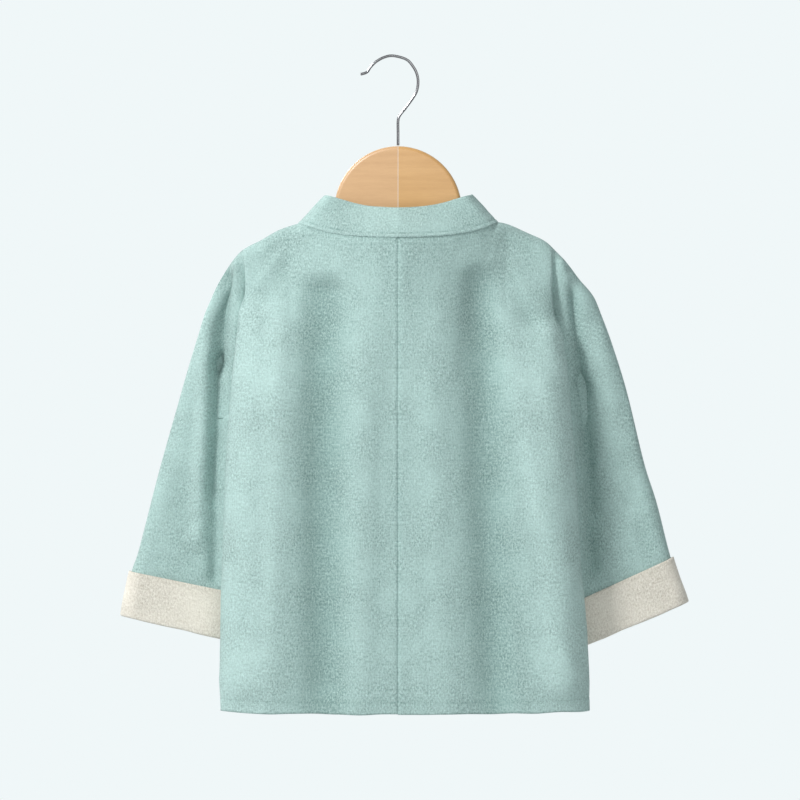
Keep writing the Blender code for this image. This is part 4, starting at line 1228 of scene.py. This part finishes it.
def cuff_legs():
    """Shares down the cuff and how far it lies out, from inside round the fold to outside."""
    fold = CUFF_LAY / 2
    steps = np.arange(CUFF_LEG_STEPS) / CUFF_LEG_STEPS
    legs = [(between(CUFF_STARTS_AT, CUFF_TURNS_AT, step), 0.0) for step in steps]
    for angle in np.linspace(0.0, math.pi, CUFF_FOLD_STEPS + 1):
        legs.append((1.0 - (fold - fold * math.sin(angle)) / CUFF_DEPTH, fold - fold * math.cos(angle)))
    legs += [(CUFF_TURNS_AT * (1.0 - step - 1.0 / CUFF_LEG_STEPS), CUFF_LAY) for step in steps]
    return legs


def make_cuff(side):
    shares = crowded(SLEEVE_COLUMNS, 0.25, 0.25)
    rings = []
    for at, lay in cuff_legs():
        inner, outer = cuff_corners(side, at)
        depth = float(read(SLEEVE_DEPTH, "z", "depth", inner[2]))
        back = tube_places(inner, outer, depth, shares, -1.0, lay)
        front = tube_places(inner, outer, depth, shares, 1.0, lay)
        rings.append(np.concatenate([back, front[-2:0:-1], back[:1]]))
    grid = np.array(rings).transpose(1, 0, 2)
    sign = 1.0 if side == "left" else -1.0
    normal = outward(np.concatenate([grid[-2:-1], grid, grid[1:2]]), sign)[1:-1]
    u, v = lengths(grid, 0), lengths(grid, 1)
    lift = rippled(u, v, 90 if side == "left" else 95, 0.30) + 0.0004 * ripple(u * 0.0 + v, v * 0.0 + u, 0.013, 0.018, 97)
    seam_calm = away_from(np.minimum(u, u[-1:] - u), 0.010)
    grid = grid + normal * (lift * seam_calm * away_from(v, 0.02) + CLOTH_INSET)[..., None]
    grid[-1] = grid[0]
    # Painted shade along the cuff's top edge, where it meets the sleeve
    near = np.exp(-(v[:, -1:] - v) / 0.004)
    made = sheet_object("cloth_cuff_" + side, [(grid, np.stack([u, v], axis=-1), near)], CREAM, side == "right", CUFF_THICK)
    return declare(made, "facing_cotton", "cuff_" + side)


CUFFS = {side: make_cuff(side) for side in SIDES}

# %% [markdown]
# ## The stitches
# A running stitch is one small shape repeated along a line. The lines are read off the finished
# cloth: 11 mm above each hem, along both lap edges and just above the collar's seam. Geometry
# Nodes turn a line into a curve, set points on it at the stitch's pitch, lay a small
# thread-shaped body along it at each point and give the result its material.

# %% Stitches by Geometry Nodes
STITCH_PITCH = 0.0027
STITCH_LENGTH = 0.0019
STITCH_THICK = 0.00042
STITCH_PROUD = 0.00008


def socket_name(tree, name):
    return next(item.identifier for item in tree.interface.items_tree if item.name == name)


def make_stitch_tree():
    tree = bpy.data.node_groups.new("running_stitch", "GeometryNodeTree")
    tree.interface.new_socket("Geometry", in_out="INPUT", socket_type="NodeSocketGeometry")
    for name in ("Pitch", "Length", "Thickness"):
        tree.interface.new_socket(name, in_out="INPUT", socket_type="NodeSocketFloat")
    tree.interface.new_socket("Geometry", in_out="OUTPUT", socket_type="NodeSocketGeometry")

    def node(kind, settings=None, **links):
        made = tree.nodes.new(kind)
        for key, value in (settings or {}).items():
            setattr(made, key, value)
        for name, value in links.items():
            socket = made.inputs[name.replace("_", " ")]
            if isinstance(value, bpy.types.NodeSocket):
                tree.links.new(value, socket)
            else:
                socket.default_value = value
        return made.outputs

    given = node("NodeGroupInput")
    curve = node("GeometryNodeMeshToCurve", Mesh=given["Geometry"])
    even = node("GeometryNodeResampleCurve", {"mode": "LENGTH"}, Curve=curve["Curve"], Length=given["Pitch"])
    along = node("GeometryNodeInputTangent")
    turn = node("FunctionNodeAlignRotationToVector", {"axis": "X"}, Vector=along["Tangent"])
    thread = node("GeometryNodeMeshUVSphere", Segments=6, Rings=4, Radius=0.5)
    size = node("ShaderNodeCombineXYZ", X=given["Length"], Y=given["Thickness"], Z=given["Thickness"])
    laid = node(
        "GeometryNodeInstanceOnPoints", Points=even["Curve"], Instance=thread["Mesh"],
        Rotation=turn["Rotation"], Scale=size["Vector"],
    )
    real = node("GeometryNodeRealizeInstances", Geometry=laid["Instances"])
    dyed = node("GeometryNodeSetMaterial", Geometry=real["Geometry"], Material=THREAD)
    tree.links.new(dyed["Geometry"], tree.nodes.new("NodeGroupOutput").inputs["Geometry"])
    return tree


STITCH_TREE = make_stitch_tree()


def stitched(name, lines):
    """Running stitches along lines, each a list of places on the cloth's outer side."""
    points, edges = [], []
    for line in lines:
        start = len(points)
        points.extend(map(tuple, line))
        edges.extend((k, k + 1) for k in range(start, len(points) - 1))
    mesh = bpy.data.meshes.new(name)
    mesh.from_pydata(points, edges, [])
    carrier = bpy.data.objects.new(name, mesh)
    bpy.context.scene.collection.objects.link(carrier)
    nodes = carrier.modifiers.new("stitches", "NODES")
    nodes.node_group = STITCH_TREE
    for key, value in (("Pitch", STITCH_PITCH), ("Length", STITCH_LENGTH), ("Thickness", STITCH_THICK)):
        nodes[socket_name(STITCH_TREE, key)] = value
    graph = bpy.context.evaluated_depsgraph_get()
    plain = bpy.data.meshes.new_from_object(carrier.evaluated_get(graph))
    carrier.modifiers.clear()
    carrier.data = plain
    plain.shade_smooth()
    return declare(carrier, "linen_cotton")


def line_across(made, distance):
    """The line at one distance from the hem, column by column."""
    outside = made["body"] + made["normal"] * (CLOTH_THICK + STITCH_PROUD)
    line = []
    for column, from_hem in zip(outside, made["from_hem"]):
        line.append([np.interp(-distance, -from_hem, column[:, axis]) for axis in range(3)])
    return line


def line_down_lap(side, made):
    """The line beside the lap's edge, row by row from the collar's corner to the hem."""
    outside = made["body"] + made["normal"] * (CLOTH_THICK + STITCH_PROUD)
    line = []
    for row in range(LAP_CORNER_ROW[side] + 2, LAST_ROW - 5):
        line.append([np.interp(LAP_HEM, made["u"][:, row], outside[:, row, axis]) for axis in range(3)])
    return line


stitched("stitches_collar", [COLLAR_STITCHES])
for (side, panel), made in PANELS.items():
    stitch_lines = [line_across(made, HEM_TURN)]
    if panel == "front":
        stitch_lines.append(line_down_lap(side, made))
    stitched(f"stitches_{panel}_{side}", stitch_lines)

# %% [markdown]
# ## The wooden hanger
# The hanger is cut from a beech board in two halves, glued on a slant cut under the hook, and
# bent slightly forwards. Each half is one outline, repeated as rings that step in along a
# quarter circle at both faces, so that it is rounded along its edges like a routed board, and
# its faces follow the bend. The grain runs along the arm: noise stretched far along X.

# %% The wood and the hanger's halves
HANGER_TIP_TURN = 0.0075
WOOD_THICK = 0.0120
WOOD_ROUNDING = 0.0035
HUMP_RADIUS = 0.059
HUMP_TOP_Z = -0.0810
ARM_ROOT = {"left": Line(0.0605, -0.1407), "right": Line(0.0605, -0.1400)}
ARM_TIP = {"left": Line(0.1400, -0.1760), "right": Line(0.1400, -0.1736)}
ARM_TIP_HEIGHT = 0.0150
ARM_TIP_RISE = 0.0020
WOOD_UNDERSIDE = [
    Line(0.1000, -0.1790), Line(0.0700, -0.1660), Line(0.0450, -0.1520), Line(0.0200, -0.1424),
    Line(0.0000, -0.1400),
]
OUTLINE_STEP = 0.0010
OUTLINE_SOFTENING = 2.2
ROUNDING_STEPS = 6


def make_wood(name, low, high):
    look = Look(name, roughness=0.42)
    look.constant("Coat Weight", 0.25)
    look.constant("Coat Roughness", 0.25)
    place = look.node("ShaderNodeTexCoord", {}, {}, output=3)
    bands = look.noise(look.stretched(place, (9.0, 60.0, 170.0)), 1.0, detail=3.0, roughness=0.6)
    pores = look.noise(look.stretched(place, (60.0, 900.0, 1500.0)), 1.0, detail=2.0)
    broad = look.noise(look.stretched(place, (4.0, 20.0, 26.0)), 1.0, detail=1.0)
    shade = bands * 0.55 + pores * 0.25 + broad * 0.45 - 0.12
    look.feed("Base Color", look.tint(shade, low, high))
    look.feed("Roughness", 0.52 - bands * 0.2)
    look.feed("Normal", look.bump(pores * 0.6 + bands * 0.4, 0.25, 0.0004))
    return look.material


WOODS = {
    "left": make_wood("beech_pale", (0.420, 0.235, 0.105), (0.700, 0.455, 0.245)),
    "right": make_wood("beech_warm", (0.440, 0.225, 0.072), (0.740, 0.445, 0.175)),
}


def board_outline(side):
    """Half of the board's outline, from its top round the tip to its underside, made soft."""
    root, tip = ARM_ROOT[side], ARM_TIP[side]
    angles = np.radians(np.linspace(0.0, 76.0, 40))
    hump = np.stack([HUMP_RADIUS * np.sin(angles), HUMP_TOP_Z - HUMP_RADIUS * (1.0 - np.cos(angles))], axis=1)
    radius = ARM_TIP_HEIGHT / 2
    centre = np.array((tip.x - radius, tip.z - radius + ARM_TIP_RISE))
    angles = np.radians(np.linspace(45.0, 165.0, 24))
    end = centre + radius * np.stack([np.sin(angles), np.cos(angles)], axis=1)
    arm_end = Line(0.1340, between(root.z, tip.z, (0.1340 - root.x) / (tip.x - root.x)))
    corners = np.concatenate([hump, [root, arm_end], end, WOOD_UNDERSIDE])
    run = np.concatenate([[0.0], np.cumsum(np.linalg.norm(np.diff(corners, axis=0), axis=1))])
    even = np.linspace(0.0, run[-1], int(run[-1] / OUTLINE_STEP))
    line = np.stack([np.interp(even, run, corners[:, axis]) for axis in range(2)], axis=1)
    reach = int(4 * OUTLINE_SOFTENING)
    mirror = np.array((-1.0, 1.0))
    longer = np.concatenate([line[reach:0:-1] * mirror, line, line[-2 : -reach - 2 : -1] * mirror])
    weights = np.exp(-0.5 * (np.arange(-reach, reach + 1) / OUTLINE_SOFTENING) ** 2)
    weights /= weights.sum()
    return np.stack([np.convolve(longer[:, axis], weights, "valid") for axis in range(2)], axis=1)


def make_hanger_half(side):
    """The outline in rings, each further in along a quarter circle, then two flat faces."""
    line = board_outline(side)
    along = np.gradient(line, axis=0)
    along /= np.linalg.norm(along, axis=1)[:, None]
    inwards = np.stack([along[:, 1], -along[:, 0]], axis=1)
    inwards[0], inwards[-1] = (0.0, -1.0), (0.0, 1.0)
    angles = np.linspace(0.0, math.pi / 2, ROUNDING_STEPS + 1)
    rings = []
    for face in (-1.0, 1.0):
        steps = angles[::-1] if face < 0 else angles
        for angle in steps:
            ring = line + inwards * WOOD_ROUNDING * (1.0 - math.cos(angle))
            y = face * (WOOD_THICK / 2 - WOOD_ROUNDING * (1.0 - math.sin(angle)))
            x = np.maximum(ring[:, 0], SEAM_GAP / 2)
            rings.append(column_of(SIDES[side] * x, y + x * BEND, ring[:, 1]))
    bm = bmesh.new()
    verts = [[bm.verts.new(place) for place in ring] for ring in rings]
    for one, other in zip(verts, verts[1:]):
        for k in range(len(line) - 1):
            bm.faces.new((one[k], one[k + 1], other[k + 1], other[k]))
    bm.faces.new(verts[0])
    bm.faces.new(verts[-1])
    bm.faces.new([ring[0] for ring in verts] + [ring[-1] for ring in reversed(verts)])
    bmesh.ops.recalc_face_normals(bm, faces=bm.faces)
    bmesh.ops.triangulate(bm, faces=[face for face in bm.faces if len(face.verts) > 4])
    mesh = bpy.data.meshes.new("board_" + side)
    bm.to_mesh(mesh)
    bm.free()
    mesh.materials.append(WOODS[side])
    mesh.shade_smooth()
    mesh.set_sharp_from_angle(angle=math.radians(35.0))
    half = bpy.data.objects.new("board_" + side, mesh)
    bpy.context.scene.collection.objects.link(half)
    return declare(half, "wood", "hanger_" + side)


for side in SIDES:
    make_hanger_half(side)

# %% [markdown]
# ## The hook and the press stud
# The hook is one bent wire. A poly curve with a round bevel sweeps it along a smooth route
# through the points where the bends lie. Its plating is bright, with faint draw marks along
# the wire. Its colour is a dark grey, a painted dark reflection that stands in for the dim
# room the chrome mirrors. The press stud between the laps keeps the imported model's shape
# and gets the same steel, only duller.

# %% Steel, the hook and the stud
WIRE_RADIUS = 0.0013
HOOK_STEPS = 8
HOOK_SIDES = 6
HOOK_ROUTE = [
    Line(-0.0347, -0.0158), Line(-0.0289, -0.0139), Line(-0.0256, -0.0094), Line(-0.0204, -0.0042),
    Line(-0.0127, 0.0000), Line(-0.0043, 0.0013), Line(0.0079, -0.0022), Line(0.0144, -0.0094),
    Line(0.0177, -0.0165), Line(0.0185, -0.0242), Line(0.0170, -0.0319), Line(0.0132, -0.0385),
    Line(0.0066, -0.0475), Line(0.0015, -0.0540), Line(0.0000, -0.0590), Line(0.0000, -0.0700),
    Line(0.0000, HUMP_TOP_Z - 0.0005),
]


def make_steel(name, roughness, colour):
    look = Look(name, roughness=roughness, metallic=1.0)
    place = look.node("ShaderNodeTexCoord", {}, {}, output=3)
    marks = look.noise(place, 900.0, detail=2.0)
    patches = look.noise(place, 60.0, detail=1.0)
    look.feed("Base Color", look.tint(patches, tuple(0.8 * part for part in colour), colour))
    look.feed("Roughness", marks * 0.10 + patches * 0.08 + (roughness - 0.08))
    return look.material


def smooth_route(route, steps):
    """Places on a smooth curve through the route's points."""
    points = np.array([route[0], *route, route[-1]])
    line = []
    for before, here, after, beyond in zip(points, points[1:], points[2:], points[3:]):
        for t in np.arange(steps) / steps:
            turn = 2.0 * before - 5.0 * here + 4.0 * after - beyond
            twist = 3.0 * here - before - 3.0 * after + beyond
            line.append(here + 0.5 * t * (after - before + t * (turn + t * twist)))
    return np.array(line + [points[-1]])


def make_hook():
    line = smooth_route(HOOK_ROUTE, HOOK_STEPS)
    curve = bpy.data.curves.new("hook_wire", "CURVE")
    curve.dimensions = "3D"
    curve.bevel_depth = WIRE_RADIUS
    curve.bevel_resolution = HOOK_SIDES
    curve.use_fill_caps = True
    spline = curve.splines.new("POLY")
    spline.points.add(len(line) - 1)
    for point, (x, z) in zip(spline.points, line):
        point.co = (x, 0.0, z + WIRE_RADIUS, 1.0)
    drawn = bpy.data.objects.new("hook_wire_curve", curve)
    bpy.context.scene.collection.objects.link(drawn)
    mesh = bpy.data.meshes.new_from_object(drawn.evaluated_get(bpy.context.evaluated_depsgraph_get()))
    bpy.data.objects.remove(drawn)
    bm = bmesh.new()
    bm.from_mesh(mesh)
    bmesh.ops.remove_doubles(bm, verts=bm.verts, dist=1e-6)
    bm.to_mesh(mesh)
    bm.free()
    mesh.materials.clear()
    # The wire's dark grey is a painted dark reflection of a dim room
    mesh.materials.append(make_steel("plated_wire", 0.24, (0.30, 0.30, 0.31)))
    mesh.shade_smooth()
    wire = bpy.data.objects.new("hook_wire", mesh)
    bpy.context.scene.collection.objects.link(wire)
    return declare(wire, "hook_steel", "hook")


make_hook()
STUD_STEEL = make_steel("stud_steel_dull", 0.38, (0.56, 0.56, 0.55))
for node in ("stud_cap", "stud_socket"):
    stud = frame["nodes"][node]
    stud.data.materials.clear()
    stud.data.materials.append(STUD_STEEL)

# %% [markdown]
# ## What each piece of cloth was cut to
# The rectangle that each sheet was cut from and the area of the cut itself are worked out and
# printed. Cloth doesn't stretch much here, so the area is measured on the hung surface, before
# the Solidify modifier gives it a second layer.

# %% Printing what each sheet was cut to


def flat_area(mesh):
    return sum(face.area for face in mesh.polygons)


def widest(grid, axis):
    return float(lengths(grid, axis).max())


for (side, panel), made in PANELS.items():
    body, arm = made["grids"][0][0], made["grids"][1][0]
    across = float((made["u"][-1] + lengths(arm, 0)[-1]).max())
    down = widest(body, 1)
    area = flat_area(made["object"].data)
    print(f"{panel} {side}: cut {across:.3f} by {down:.3f} m, {area:.4f} m2")
for side, cuff in CUFFS.items():
    area = flat_area(cuff.data)
    around = 2.0 * float(np.linalg.norm(np.subtract(*cuff_corners(side, 0.5))))
    area / around
    print(f"cuff {side}: cut {around:.3f} by {area / around:.3f} m")
# The band is a closed loop of two layers, so the folded band has half of its surface
collar_area = flat_area(COLLAR.data) / 2
collar_length = float(np.linalg.norm(np.diff(COLLAR_STITCHES, axis=0), axis=1).sum())
collar_area / collar_length
print(f"collar: cut {collar_length:.3f} by {collar_area / collar_length:.3f} m")
